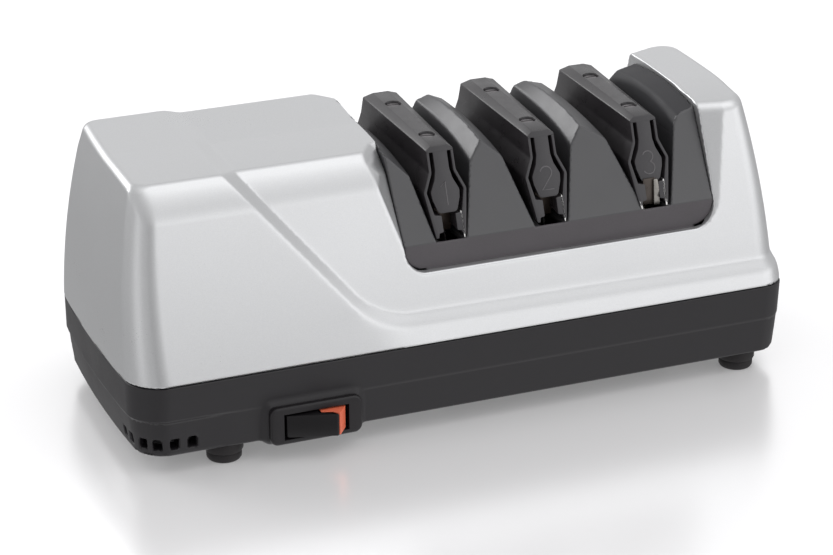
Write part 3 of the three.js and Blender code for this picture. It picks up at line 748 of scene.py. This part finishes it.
def cover(x, y, z):
    ay = np.abs(y)
    # ledge: 0 on the proud part, 1 on the part that stands back
    ql = rmin((x + 49.2) * 0.7678 + (z - 59.0) * 0.6407, z - (41.8 - 0.009 * (x + 7)), 10.0)
    qu = rmin((x + 42.8) * 0.7682 + (z - 57.0) * 0.6402, z - (45.6 - 0.010 * (x + 7)), 9.0)
    t = ql / np.maximum(ql - qu, 1.0)
    low = 1 - step((z - 43) / 9)
    t = 0.5 * (np.sqrt(t * t + 0.010 + 0.11 * low) - np.sqrt((t - 1) ** 2 + 0.006 + 0.025 * low) + 1)
    rear = step((y + 6) / 12)
    deep = fit(z, 53.0, -0.245, -0.000397) * (1 - t) + (fit(z, 50.9, -0.2754, -0.000456) + (0.9 + 1.3 * step((x - 30) / 65)) * rear) * t
    # the part below the ledge flares out a little
    deep = deep + (0.10 * soft(41 - z, 1.0) - 0.3) * step((x + 40) / 20) * (1 - t)
    left = fit(z, 127.1, -0.0244, -0.001725)
    right = fit(z, 127.5, -0.0840, -0.000928) * (1 - t) + fit(z, 125.45, -0.0155, -0.00156) * t
    # saddle, with a facet down its edge on the front and rear of the pillar
    xl, xr = wall_left(z), wall_right(z)
    g = np.where(x < 40, rmax(xl - x, 58.6 - z, 6.8), rmax(x - xr, 58.6 - z, 9.3))
    up = np.maximum(z - 57, 0)
    deep = deep - np.where(x > 60, 0.29 * soft(0.217 * up - np.maximum(g, 0), 0.4) * step((z - 57) / 8), 0)
    yf, yr = np.minimum(y, 0), np.maximum(y, 0)
    top = (102.3 - 1.2 * (yf / 32) ** 2 + 1.1 * yr / 34) * (1 - t) + (101.1 - 1.1 * (yf / 28) ** 2 + 2.1 * yr / 32) * t
    top = np.where(x > 60, 102.2 - 1.6 * (yf / 27) ** 2 - 0.5 * (yr / 30) ** 2 + 0.05 * (x - 99), top)
    side = (ay - deep) * 0.962
    up35 = np.clip(z - 35, 0, 70)
    rl = np.where(y < 0, 12.7 - 0.075 * up35, np.clip(18.0 - 0.22 * up35, 5, 18))
    rr = 10.5 - 0.055 * up35
    p = plan(x, y, side, left, right, rl, rr)
    # a broad bevel along the housing's front top edge, crisp above and soft below
    front = step((-y - 8) / 12)
    bevel = 0.77 * side + 0.64 * (z - top) + 3.84 - 30 * (1 - front)
    p = np.where(x < 40, rmax(p, bevel, 3.5), p)
    rt = np.where(x < 40, 2.3 - 1.6 * front * step((x + 116) / 6), 2.0 + 0.9 * front)
    body = rmax(p, z - top, rt)
    f = rmax(body, -g, 0.6 - 0.25 * step((z - 60) / 8))
    face = np.where(x < 40, rmax(side, bevel, 3.5), side)
    chamfer = (face - g + np.minimum(0.26 * soft(z - 66.5, 2.0), 8.0)) * 0.7071
    f = np.where(x < 40, rmax(f, chamfer, 0.6), f)
    gw = np.maximum(xl - x, x - xr)
    # the inside follows the part that stands back, so that the wall stays whole behind the ledge
    back = (ay - fit(z, 50.9, -0.2754, -0.000456)) * 0.962 + 2.5 + 0.9 * step((-25 - x) / 5)
    hollow = np.maximum(np.maximum(np.maximum(p + 2.4, back), z - 95.5), np.minimum(2.4 - gw, z - 60.2))
    hollow = np.maximum(hollow, np.where(x < 40, chamfer + 2.2, hollow))
    f = np.maximum(f, -hollow)
    window = box(x, y, z, 72.4, 80.4, 30, 70, 46.7, 57.3, 1.2)
    f = rmax(f, -window, 0.5)
    return rmax(f, 35.05 - z, 0.6)


implicit(
    "silver_cover", cover, (-129, -55, 33.5), (128.5, 55, 104), 1.0, 0.86, SILVER, "casing", "top_cover"
)


# ------------------------------------------------------------------ black base
VENTS = [(-104.5, -50.9, -90), (-111.0, -50.8, -92), (-117.2, -49.6, -113), (-122.0, -45.9, -146), (-124.6, -39.0, 180),
         (-125.2, -33.0, 180)]
SX, SZ = -60.4, 13.55


def base(x, y, z):
    ay = np.abs(y)
    lower = step((21.6 - z) / 0.9)
    lip = (0.15 + 0.5 * step((-86 - x) / 18)) * lower
    deep = 50.8 + (z - 8.6) * 0.0722 - lip
    left = np.interp(z, [8.6, 16, 22, 34.9], [125.0, 126.0, 126.6, 126.8]) - lip
    right = np.interp(z, [8.6, 16, 22, 34.9], [126.1, 126.6, 126.9, 127.0]) - 0.2 * lower
    rl = np.where(y < 0, 10.8 + 0.07 * (z - 8.6), 14.0 + 0.13 * (z - 8.6))
    p = plan(x, y, ay - deep, left, right, rl, 8.5)
    # the wall runs on as a low skirt round the floor
    body = rmax(p, 7.3 - z, 0.8)
    body = rmax(body, -np.maximum(p + 1.3, z - 8.6), 0.3)
    body = rmax(body, z - 34.7, 0.4)
    boss = box(x, y, z, SX - 18.6, SX + 18.6, -53.0, -20, 5.4, 22.4, 3.0)
    body = rmin(body, boss, 1.5)
    inner = plan(x, y, ay - deep + 2.5, left - 2.5, right - 2.5, rl - 2.2, 6.5)
    hollow = np.maximum(inner, 11.1 - z)
    boss_in = box(x, y, z, SX - 13.3, SX + 13.3, -60, -32.8, 7.2, 19.9)
    hollow = np.maximum(hollow, -box(x, y, z, SX - 15.5, SX + 15.5, -60, -31, 0, 22.2))
    f = np.maximum(body, -hollow)
    f = np.maximum(f, -boss_in)
    cut = np.full(x.shape, 1e3)
    for vx, vy, turn in VENTS:
        a = math.radians(turn)
        c, s = math.cos(a), math.sin(a)
        u = (x - vx) * c + (-ay - vy) * s
        v = -(x - vx) * s + (-ay - vy) * c
        cut = np.minimum(cut, np.maximum(np.maximum(np.abs(u) - 6, np.abs(v) - 1.5), np.abs(z - 11.9) - 1.9) + np.where((y > 0) & (x < -119.5), 9, 0))
    f = rmax(f, -cut, 0.3)
    f = np.maximum(f, -np.maximum(np.hypot(x + 97, z - 20) - 6.3, 40 - y))
    return rmax(f, -box(x, y, z, 24, 48, -11, 11, 4, 14), 0.4)


implicit(
    "black_base", base, (-128.5, -54.5, 1.5), (128.5, 54.5, 36), 1.0, 0.42, BLACK, "casing", "base_housing",
)


# ------------------------------------------------------------------ slate insert
# V walls carried up to a height, one after the other; the fins' tops are cut to facets below
INSERT = [
    (-13.4, 58.75), (-13.0, 56.6), (93.0, 56.6), (93.4, 58.9), (108, 59.0), (108, 107), (92.8, 107), (83.1, 68.0),
    (72.6, 68.0), (56.0, 107), (51.3, 107), (42.1, 68.0), (29.3, 68.0), (16.1, 107), (12.0, 107), (2.7, 68.0),
    (-8.9, 68.0), (-19.4, 107), (-36, 107), (-36, 58.8),
]
INSERT = offset(INSERT, 0.35)
# ridge, lower left point, lower right point of each fin's top
FACETS = [
    ((-24.3, 99.0), None, (-15.1, 91.1)), ((13.8, 98.2), (8.3, 92.2), (21.1, 92.8)),
    ((52.8, 98.3), (47.9, 92.7), (61.9, 93.3)), ((91.6, 96.9), (89.5, 94.4), (108, 101.5)),
]


def above(x, z, a, b):
    """Signed height over the line from a to b, b being further right."""
    ex, ez = b[0] - a[0], b[1] - a[1]
    return (-(x - a[0]) * ez + (z - a[1]) * ex) / np.sqrt(ex * ex + ez * ez)


def insert(x, y, z):
    ay = np.abs(y)
    zz = z - np.clip(2.35 * (1 - (ay / 25.3) ** 2), -1.5, 3)
    f = poly(x, z, INSERT) - 0.35
    twist = 0.0029 * np.maximum(y + 12, 0) ** 2
    for k, (ridge, low, high) in enumerate(FACETS):
        here = (x > (-60, -2.5, 36.0, 77.0)[k]) & (x <= (-2.5, 36.0, 77.0, 200)[k])
        g = np.full(x.shape, -1e3)
        if low:
            lift = twist if k < 3 else -0.02 * (y + 28)
            g = above(x, zz, (low[0] + 0.24 * lift, low[1] + lift), ridge)
        if high:
            lift = twist * 0.6 if k in (1, 2) else 0 * twist
            h = above(x, zz, ridge, (high[0] - 0.35 * lift, high[1] + lift))
            g = rmax(g, h, 0.45) if low else h
        f = np.where(here, rmax(f, g, 0.4), f)
    xl, xr = wall_left(z), wall_right(z)
    g = np.where(x < 40, rmax(xl - x, 58.6 - z, 6.8), rmax(x - xr, 58.6 - z, 9.3))
    inside = np.minimum(g + 0.06, np.maximum(z - 58.6, np.maximum(-13.2 - x, x - 93.2)))
    f = rmax(f, inside, 0.15)
    end = np.where(z < 68, 41.2 - (z - 56.6) * 0.061, 40.5 - 0.5 * (z - 68))
    f = rmax(f, (ay - end) * 0.92, 0.4)
    cut = np.full(x.shape, 1e3)
    for c in STAGES:
        cut = np.minimum(cut, box(x, y, z, c - 9.6, c + 9.6, -25.6, 25.6, 50, 76.4, 0.5))
        cut = np.minimum(cut, box(x, y, z, c - 12.4, c + 12.4, -38.2, 38.2, 50, 65.8, 0.5))
        cut = np.minimum(cut, box(x, y, z, c - 4.4, c + 4.3, -39.4, 39.4, 63, 71.0, 0.3))
    return np.maximum(f, -cut)


implicit(
    "slate_insert", insert, (-28, -43, 55.5), (102, 43, 104.5), 0.8, 0.45, [SLATE, STRIP, SLATE_MATT], "casing",
    "guide_insert",
    pick=lambda x, y, z: np.where(
        (x > 86) & (z > 91) & (np.abs(y) < 39.9 - 0.5 * (z - 68)), 2, (z < 67.9) & (np.abs(y) > 39.6)
    ),
)


# ------------------------------------------------------------------ guides
def end_y(z):
    return 40.5 - 0.403 * (z - 69)


def rear_y(z):
    return 40.5 - 0.33 * (z - 69)


def widen(c):
    def move(x, y, z):
        share = min(1.0, max(0.0, (z - 86) / 5))
        grow = share * 1.6 * ((y + 29) / 58) * min(1.0, max(0.0, (abs(x) - 3.1) / 0.9))
        return (c + x + math.copysign(grow, x), y, z)

    return move


POST = [
    (2.9, 77.3), (3.8, 78.0), (5.2, 82.0), (5.5, 84.6), (3.5, 88.4), (2.75, 91.6), (2.75, 97.55), (4.1, 97.55),
    (5.1, 97.56), (5.1, 98.35), (3.0, 99.75),
]
POST = POST + [(-x, z) for x, z in POST[::-1]]
POST_R = [1.6, 1.6, 3.0, 2.2, 3.5, 3.0, 0.3, 0, 0, 0.60, 0.22]
POST = fillet(POST, POST_R + POST_R[::-1], 4)
ARM = [
    (4.05, 97.58), (4.05, 90.8), (7.0, 84.6), (5.2, 77.0), (2.6, 76.6), (2.6, 71.1), (4.3, 70.8), (4.6, 69.3),
    (5.7, 69.3), (8.2, 84.6), (5.1, 91.2), (5.1, 97.58),
]
ARM = fillet(ARM, [0, 2.6, 1.2, 0.6, 0.35, 0.35, 0.3, 0.2, 0.3, 2.4, 3.2, 0], 4)


def faced(ob):
    """The guides' end faces, picked by the way they face, take a paler, flatter copy of the guide plastic: painted
    light on the faces toward the front and rear.
    """
    ob.data.materials.append(GUIDE_END_LIT)
    n = np.empty(len(ob.data.polygons) * 3)
    ob.data.polygons.foreach_get("normal", n)
    n = n.reshape(-1, 3)
    ob.data.polygons.foreach_set("material_index", (np.abs(n[:, 1]) > 0.80).astype(np.int32))


for i, c in enumerate(STAGES, 1):
    span = lambda u, v: (-end_y(v), rear_y(v))
    post = prism(
        f"guide_stem_{i}", POST, span, GUIDE, "casing", inset=0.28, replaced=f"guide_post_{i}", middle=6, warp=widen(c),
    )
    for side, s in (("left", -1), ("right", 1)):
        outline = [(s * x, z) for x, z in ARM]
        arm = prism(
            f"guide_leaf_{i}_{side}", outline, span, GUIDE, None, inset=0.28, middle=6, warp=widen(c),
        )
        faced(arm)
        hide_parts(f"guide_arm_{i}_{side}")
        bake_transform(arm)
    post_tools = []
    for k, y in (("front", -16.6), ("rear", 16.9)):
        # the head sits down in a counterbore
        head = lathe(
            f"screw_{i}_{k}",
            [(0, 96.6), (2.5, 96.6), (2.62, 96.8), (2.62, 98.85), (2.45, 99.05), (1.8, 99.2), (0, 99.25)],
            BLACKENED, "casing", at=(c, y, 0), n=48, replaced=f"guide_screw_{i}_{k}",
        )
        bore = lathe(
            f"bore_{i}_{k}", [(0, 96.5), (2.75, 96.5), (2.8, 99.3), (3.05, 99.75), (3.05, 101), (0, 101)], GUIDE, None,
            at=(c, y, 0), n=48,
        )
        post_tools.append(bore)
        cutter = bpy.data.meshes.new("slot_tool")
        bm = bmesh.new()
        bmesh.ops.create_cube(bm, size=1.0)
        bmesh.ops.scale(bm, vec=(7 * MM, 0.7 * MM, 1.3 * MM), verts=bm.verts)
        bmesh.ops.rotate(bm, matrix=Matrix.Rotation(-0.35 + 0.12 * i, 3, "Z"), verts=bm.verts)
        bmesh.ops.translate(bm, vec=(c * MM, y * MM, 99.3 * MM), verts=bm.verts)
        bm.to_mesh(cutter)
        bm.free()
        tool = bpy.data.objects.new("slot_tool", cutter)
        bpy.context.scene.collection.objects.link(tool)
        cut = head.modifiers.new("slot", "BOOLEAN")
        cut.operation, cut.object, cut.solver = "DIFFERENCE", tool, "EXACT"
        applied(head)
        smooth(head.data, 30)
        bpy.data.objects.remove(tool)
    for n, bore in enumerate(post_tools):
        m = post.modifiers.new(f"bore_{n}", "BOOLEAN")
        m.operation, m.object, m.solver = "DIFFERENCE", bore, "EXACT"
    mesh = applied(post)
    smooth(mesh, 35)
    for bore in post_tools:
        bpy.data.objects.remove(bore)
    faced(post)
    # numeral, a thin raised line on the bulb's end face
    arc = lambda cx, cy, r, a0, a1, n=9: [
        (cx + r * math.cos(math.radians(a0 + (a1 - a0) * k / n)), cy + r * math.sin(math.radians(a0 + (a1 - a0) * k / n)))
        for k in range(n + 1)
    ]
    stroke = {
        1: [(-1.5, 2.5), (0.35, 4.2), (0.35, -4.2)],
        2: arc(0, 2.0, 2.2, 165, -35) + [(-2.2, -4.2), (2.4, -4.2)],
        3: arc(-0.1, 2.15, 2.05, 155, -75) + arc(-0.1, -1.95, 2.3, 75, -155),
    }[i]
    lean = math.atan(0.403)
    zc, m = 83.7, 8
    verts, faces = [], []
    for k, (u, v) in enumerate(stroke):
        a = Vector(stroke[max(k - 1, 0)])
        b = Vector(stroke[min(k + 1, len(stroke) - 1)])
        d = (b - a).normalized()
        for q in range(m):
            w = 2 * math.pi * q / m
            ou, ov, od = -d.y * math.cos(w) * 0.24, d.x * math.cos(w) * 0.24, math.sin(w) * 0.17
            uu, vv = u + ou, v + ov
            z = zc + vv * math.cos(lean) + od * math.sin(lean)
            y = -end_y(zc) + vv * math.sin(lean) - od * math.cos(lean)
            verts.append((c + uu, y, z))
    for k in range(len(stroke) - 1):
        for q in range(m):
            q2 = (q + 1) % m
            faces.append((k * m + q, k * m + q2, (k + 1) * m + q2, (k + 1) * m + q))
    n = (len(stroke) - 1) * m
    faces += [tuple(range(m)), tuple(range(n, n + m))]
    me = mesh_of(f"numeral_{i}", verts, faces)
    smooth(me, 60)
    link(f"numeral_{i}", me, NUMERAL, "casing")
    # dark bronze leaf behind the opening, at each end
    for k, s in (("front", -1), ("rear", 1)):
        right = c + (1.6 if i == 3 else 3.3)
        leaf = [(c - 3.3, 68.4), (right, 68.4), (right, 78.5), (c - 3.3, 78.5)]
        prism(
            f"post_leaf_{i}_{k}", fillet(leaf, 0.4, 3), lambda u, v, s=s, d=37.0 if i == 3 else 31.4: (s * d - 0.4, s * d + 0.4),
            LEAF_DARK if i == 3 else LEAF, "casing", inset=0.1,
        )
        if i == 3:
            curl = [(c + 0.9, 68.4), (c + 3.2, 68.4), (c + 2.7, 74.0), (c + 1.9, 78.3), (c + 0.4, 78.3)]
            prism(
                f"steel_leaf_{i}_{k}", fillet(curl, 0.3, 3),
                lambda u, v, s=s: (s * 38.2 - 0.3, s * 38.2 + 0.3), LEAF_STEEL, "casing", inset=0.1,
            )
    # bright steel strip on the inner side of the right arm, and a tip on the left one
    w = 0.6 if i == 3 else 0.42
    strip = [(4.6, 77.3), (4.6 + w * 0.8, 77.5), (5.35, 74.5), (5.2, 68.5), (5.2 - w, 68.5), (4.75 - w * 0.6, 74.5)]
    st = prism(
        f"steel_strip_{i}_right", fillet([(c + x, z) for x, z in strip], 0.15, 2), span, STEEL,
        f"guide_arm_{i}_right", inset=0.08,
    )
    if i < 3:
        continue
    tip = [(-5.7, 71.2), (-5.0, 71.2), (-4.6, 68.4), (-5.25, 68.4)]
    prism(
        f"steel_strip_{i}_left", fillet([(c + x, z) for x, z in tip], 0.12, 2), span, STEEL, f"guide_arm_{i}_left",
        inset=0.08,
    )


# ------------------------------------------------------------------ discs, springs, shaft
for i, c in enumerate(STAGES, 1):
    for side, s in (("left", -1), ("right", 1)):
        node = ("abrasive_disc_" if i < 3 else "strop_disc_") + f"{i}_{side}"
        prof = [(4.3, 3.2), (7.0, 3.2), (7.4, 5.0), (23.6, 4.8), (24.0, 5.1), (24.0, 5.5), (23.7, 5.85)]
        prof += [(r, 5.85 + (23.7 - r) * 3.35 / 15.7) for r in (20, 16, 12)] + [(8.0, 9.2), (4.3, 9.2), (4.3, 3.2)]
        lathe(
            f"{'grit' if i < 3 else 'strop'}_disc_{i}_{side}", [(r, c + s * h) for r, h in prof],
            DIAMOND if i < 3 else STROP, f"disc_{i}_{side}", axis="x", at=(0, 0, SHAFT_Z), n=96, replaced=node,
        )
        # half of the spring between the discs
        verts, faces, n, m = [], [], 40, 8
        for k in range(n + 1):
            t = k / n
            a = 2 * math.pi * 1.25 * t
            cx = c + s * (0.1 + 2.2 * t)
            rad = np.array((0, math.cos(a), math.sin(a)))
            for q in range(m):
                w = 2 * math.pi * q / m
                d = np.array((1.0, 0, 0)) * math.cos(w) + rad * math.sin(w)
                verts.append(np.array((cx, 0, SHAFT_Z)) + rad * 5.7 + d * 0.42)
        for k in range(n):
            for q in range(m):
                q2 = (q + 1) % m
                faces.append((k * m + q, k * m + q2, (k + 1) * m + q2, (k + 1) * m + q))
        faces += [tuple(range(m)), tuple(range(n * m, n * m + m))]
        me = mesh_of(f"spring_{i}_{side}", verts, faces)
        smooth(me, 60)
        coil = link(f"spring_{i}_{side}", me, STEEL, "drive")
        if side == "left":
            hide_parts(f"disc_spring_{i}")
        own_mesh(coil)


# ------------------------------------------------------------------ feet, screws, gland
for i, (x, y) in enumerate([(-91, -43), (111, -43), (-91, 43), (111, 43)], 1):
    lathe(
        f"rubber_foot_{i}",
        [(0, 0.9), (3.0, 0.9), (3.4, 0.1), (5.3, 0.0), (5.9, 0.25), (6.3, 0.9), (6.35, 2.6), (6.1, 3.2), (5.9, 3.5),
         (6.7, 3.7), (6.95, 4.1), (6.95, 7.4), (6.7, 7.9), (5.0, 8.5), (2.0, 8.6), (2.0, 13), (0, 13)],
        RUBBER, "casing", at=(x, y, 0), n=64, replaced=f"foot_{i}",
    )
for i, (x, y) in enumerate([(-110, -27), (112, -24), (-110, 27), (112, 24)], 1):
    head = lathe(
        f"base_screw_{i}",
        [(0, 7.1), (1.3, 7.1), (1.5, 6.3), (2.4, 6.1), (3.0, 6.5), (3.3, 7.3), (3.3, 8.3), (1.5, 8.3), (1.5, 29), (0, 30.5)],
        IRON, "casing", at=(x, y, 0), n=40, replaced=f"case_screw_{i}",
    )
lathe(
    "rubber_gland",
    [(3.7, 45), (6, 45), (6, 52.6), (8.0, 52.6), (8.3, 52.9), (8.3, 54.2), (8.0, 54.6), (6.9, 54.7), (6.7, 55.3),
     (6.3, 55.5), (6.3, 56.0), (6.6, 56.2), (6.5, 56.8), (6.1, 57.0), (6.1, 57.4), (5.9, 58.0), (5.5, 58.2),
     (4.0, 58.2), (3.7, 57.9), (3.7, 45)],
    RUBBER, "casing", axis="y", at=(-97, 0, 20), n=64, replaced="cord_gland",
)

# ------------------------------------------------------------------ switch
outer = rounded_rect(SX - 17.2, SX + 17.2, 6.7, 21.2, 3.0, 6)
prism("switch_frame", outer, lambda u, v: (-55.6, -53.0), BEZEL, "casing", inset=0.9, steps=4, replaced="switch_bezel")
frame_ob = bpy.data.objects["switch_frame"]
hole = bpy.data.meshes.new("hole")
bm = bmesh.new()
bmesh.ops.create_cube(bm, size=1.0)
bmesh.ops.scale(bm, vec=(24.2 * MM, 12 * MM, 10.0 * MM), verts=bm.verts)
bmesh.ops.translate(bm, vec=(SX * MM, -55 * MM, SZ * MM), verts=bm.verts)
bm.to_mesh(hole)
bm.free()
tool = bpy.data.objects.new("hole", hole)
bpy.context.scene.collection.objects.link(tool)
cut = frame_ob.modifiers.new("hole", "BOOLEAN")
cut.operation, cut.object, cut.solver = "DIFFERENCE", tool, "EXACT"
applied(frame_ob)
smooth(frame_ob.data, 30)
bpy.data.objects.remove(tool)
black = [
    (-11.1, -55.1), (-11.1, -50.4), (1.0, -50.4), (1.0, -56.4), (5.3, -58.3), (6.9, -60.1), (6.0, -60.3), (2.0, -59.1),
]
prism(
    "rocker_cap", fillet([(SX + x, y) for x, y in black], [0.8, 0.4, 0.3, 0.2, 0.3, 0.3, 0.5, 2.5], 4),
    lambda u, v: (9.2, 17.7), ROCKER, "rocker", axis="z", inset=0.35, replaced="switch_rocker",
)
core = [
    (1.3, -56.6), (5.5, -58.0), (7.3, -59.8), (10.9, -54.9), (10.3, -48.6), (1.3, -45.8),
]
prism(
    "rocker_core", fillet([(SX + x, y) for x, y in core], 0.3, 3), lambda u, v: (9.2, 17.9), ORANGE, "rocker", axis="z",
    inset=0.2, replaced="rocker_indicator",
)

# ------------------------------------------------------------------ lever, clean-out cover, rails
for node, name, mats, body, w, slot in (
    ("dressing_lever", "lever", BLACK, "dressing_lever", 0.5, "black_plastic"),
    ("dressing_pad_left", "lever_pad_left", STROP, "dressing_lever", 0.2, "strop_polymer"),
    ("dressing_pad_right", "lever_pad_right", STROP, "dressing_lever", 0.2, "strop_polymer"),
    ("cleanout_cover", "dust_cover", BLACK, "cleanout_cover", 0.45, "black_plastic"),
    ("dust_magnet", "dust_bar", MAGNET, "cleanout_cover", 0.25, "magnet"),
    ("switch_body", "switch_housing", BEZEL, "casing", 0.3, "black_plastic"),
    ("motor_bracket_left", "bracket_left", STEEL, "casing", 0.25, "bright_steel"),
    ("motor_bracket_right", "bracket_right", STEEL, "casing", 0.25, "bright_steel"),
    ("cooling_fan", "fan", BLACK, "drive", 0.2, "black_plastic"),
):
    ob = dissolved_copy(node, name, mats, body)
    bevelled(ob, w, 2, 35)
for name, s in (("rail_front", -1), ("rail_rear", 1)):
    rail = [(s * 16, 9.4), (s * 16, 5), (s * 13.6, 5), (s * 13.6, 3.6), (s * 18, 3.6), (s * 18, 9.4)]
    prism(name, fillet(rail, 0.3, 3), lambda u, v: (4, 94), BLACK, "casing", axis="x", inset=0.15)
for k in range(5):
    lathe(
        f"lever_grip_{k + 1}", [(0, -3.6), (0.45, -3.5), (0.5, 3.5), (0, 3.6)], BLACK, "dressing_lever", axis="x",
        at=(STAGES[2], 57.0, 48.4 + 2.3 * k), n=12,
    )

# ------------------------------------------------------------------ CAD nodes that stay, with better finishes
for node, m in (
    ("motor_rotor", LAMINATE), ("motor_stator", LAMINATE), ("stator_winding", COPPER), ("motor_bearing_left", BRONZE),
    ("motor_bearing_right", BRONZE), ("shaft_end_bearing", BRONZE), ("drive_shaft", STEEL),
):
    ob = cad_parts[node]
    ob.data.materials.clear()
    ob.data.materials.append(m)


# ------------------------------------------------------------------ floor and light
def floor():
    me = bpy.data.meshes.new("floor")
    me.from_pydata([(-6, -6, 0), (6, -6, 0), (6, 6, 0), (-6, 6, 0)], [], [(0, 1, 2, 3)])
    ob = bpy.data.objects.new("floor", me)
    bpy.context.scene.collection.objects.link(ob)
    m = bpy.data.materials.new("floor_white")
    m.use_nodes = True
    t = Tree(m.node_tree)
    out = t.node("ShaderNodeOutputMaterial")
    matt = t.node("ShaderNodeBsdfDiffuse")
    matt.inputs["Color"].default_value = (0.90, 0.89, 0.895, 1)
    gloss = t.node("ShaderNodeBsdfGlossy")
    gloss.inputs["Color"].default_value = (0.98, 0.98, 0.98, 1)
    gloss.inputs["Roughness"].default_value = 0.25
    mix = t.node("ShaderNodeMixShader")
    mix.inputs[0].default_value = 0.47
    t.t.links.new(matt.outputs[0], mix.inputs[1])
    t.t.links.new(gloss.outputs[0], mix.inputs[2])
    glow = t.node("ShaderNodeEmission")
    glow.inputs["Strength"].default_value = 0.19
    add = t.node("ShaderNodeAddShader")
    t.t.links.new(mix.outputs[0], add.inputs[0])
    t.t.links.new(glow.outputs[0], add.inputs[1])
    t.t.links.new(add.outputs[0], out.inputs[0])
    ob.data.materials.append(m)
    ob.visible_glossy = False


floor()


def studio():
    """A plain studio painted on the world: pale room, a broad soft light over the front, a low one behind on the left,
    and a darker gap where the camera stands."""
    world = bpy.data.worlds.new("studio")
    bpy.context.scene.world = world
    world.use_nodes = True
    t = Tree(world.node_tree)
    out = t.node("ShaderNodeOutputWorld")
    bg = t.node("ShaderNodeBackground")
    t.t.links.new(bg.outputs[0], out.inputs[0])
    d = t.node("ShaderNodeTexCoord").outputs["Generated"]
    sep = t.node("ShaderNodeSeparateXYZ")
    t.put(sep.inputs[0], d)
    z = sep.outputs[2]
    around = t.math("ARCTAN2", sep.outputs[0], t.math("MULTIPLY", sep.outputs[1], -1.0))
    level = t.math("ADD", t.ramp(z, -0.80, -0.55, 0.90, 0.48, True), t.ramp(z, -0.40, 0.10, 0.0, 0.12, True))
    key = t.math("MULTIPLY", t.ramp(around, -0.06, 0.27, 0.0, 1.0, True), t.ramp(around, 0.96, 1.66, 1.0, 0.0, True))
    key = t.math("MULTIPLY", key, t.ramp(z, -0.08, 0.13, 0.25, 1.0, True))
    key = t.math("MULTIPLY", key, t.ramp(z, 0.20, 0.60, 0.98, 0.25, True))
    level = t.math("ADD", level, t.math("MULTIPLY", key, 1.06))

    def lobe(direction, wide, high, gain):
        l = Vector(direction).normalized()
        a = Vector((0, 0, 1)).cross(l).normalized()
        b = l.cross(a)
        u = t.math("DIVIDE", t.dot(d, tuple(a)), wide)
        v = t.math("DIVIDE", t.dot(d, tuple(b)), high)
        r2 = t.math("ADD", t.math("MULTIPLY", u, u), t.math("MULTIPLY", v, v))
        g = t.math("EXPONENT", t.math("MULTIPLY", r2, -1.0))
        front = t.ramp(t.dot(d, tuple(l)), 0.0, 0.2, 0.0, 1.0)
        return t.math("MULTIPLY", t.math("MULTIPLY", g, front), gain)

    for args in (
        ((-0.56, 0.71, 0.45), 0.26, 0.24, 6.0),
        ((0.33, 0.85, 0.41), 0.45, 0.34, 0.34),
        ((-0.915, -0.40, 0.03), 0.24, 0.40, 0.46),
        ((-0.37, 0.92, -0.20), 0.50, 0.36, -0.12),
        ((-0.33, -0.94, 0.05), 0.13, 0.40, -0.24),
        ((0.30, -0.95, 0.035), 0.18, 0.09, -0.45),
        ((0.33, -0.15, 0.94), 0.45, 0.45, 1.08),
    ):
        level = t.math("ADD", level, lobe(*args))
    level = t.math("MAXIMUM", level, 0.02)
    comb = t.node("ShaderNodeCombineColor")
    t.put(comb.inputs[0], level)
    t.put(comb.inputs[1], level)
    t.put(comb.inputs[2], t.math("MULTIPLY", level, 1.01))
    t.put(bg.inputs["Color"], comb.outputs[0])
    bg.inputs["Strength"].default_value = 1.0


studio()
scene = bpy.context.scene
scene.view_settings.view_transform = "Standard"
scene.view_settings.look = "None"
scene.view_settings.exposure = 0.0
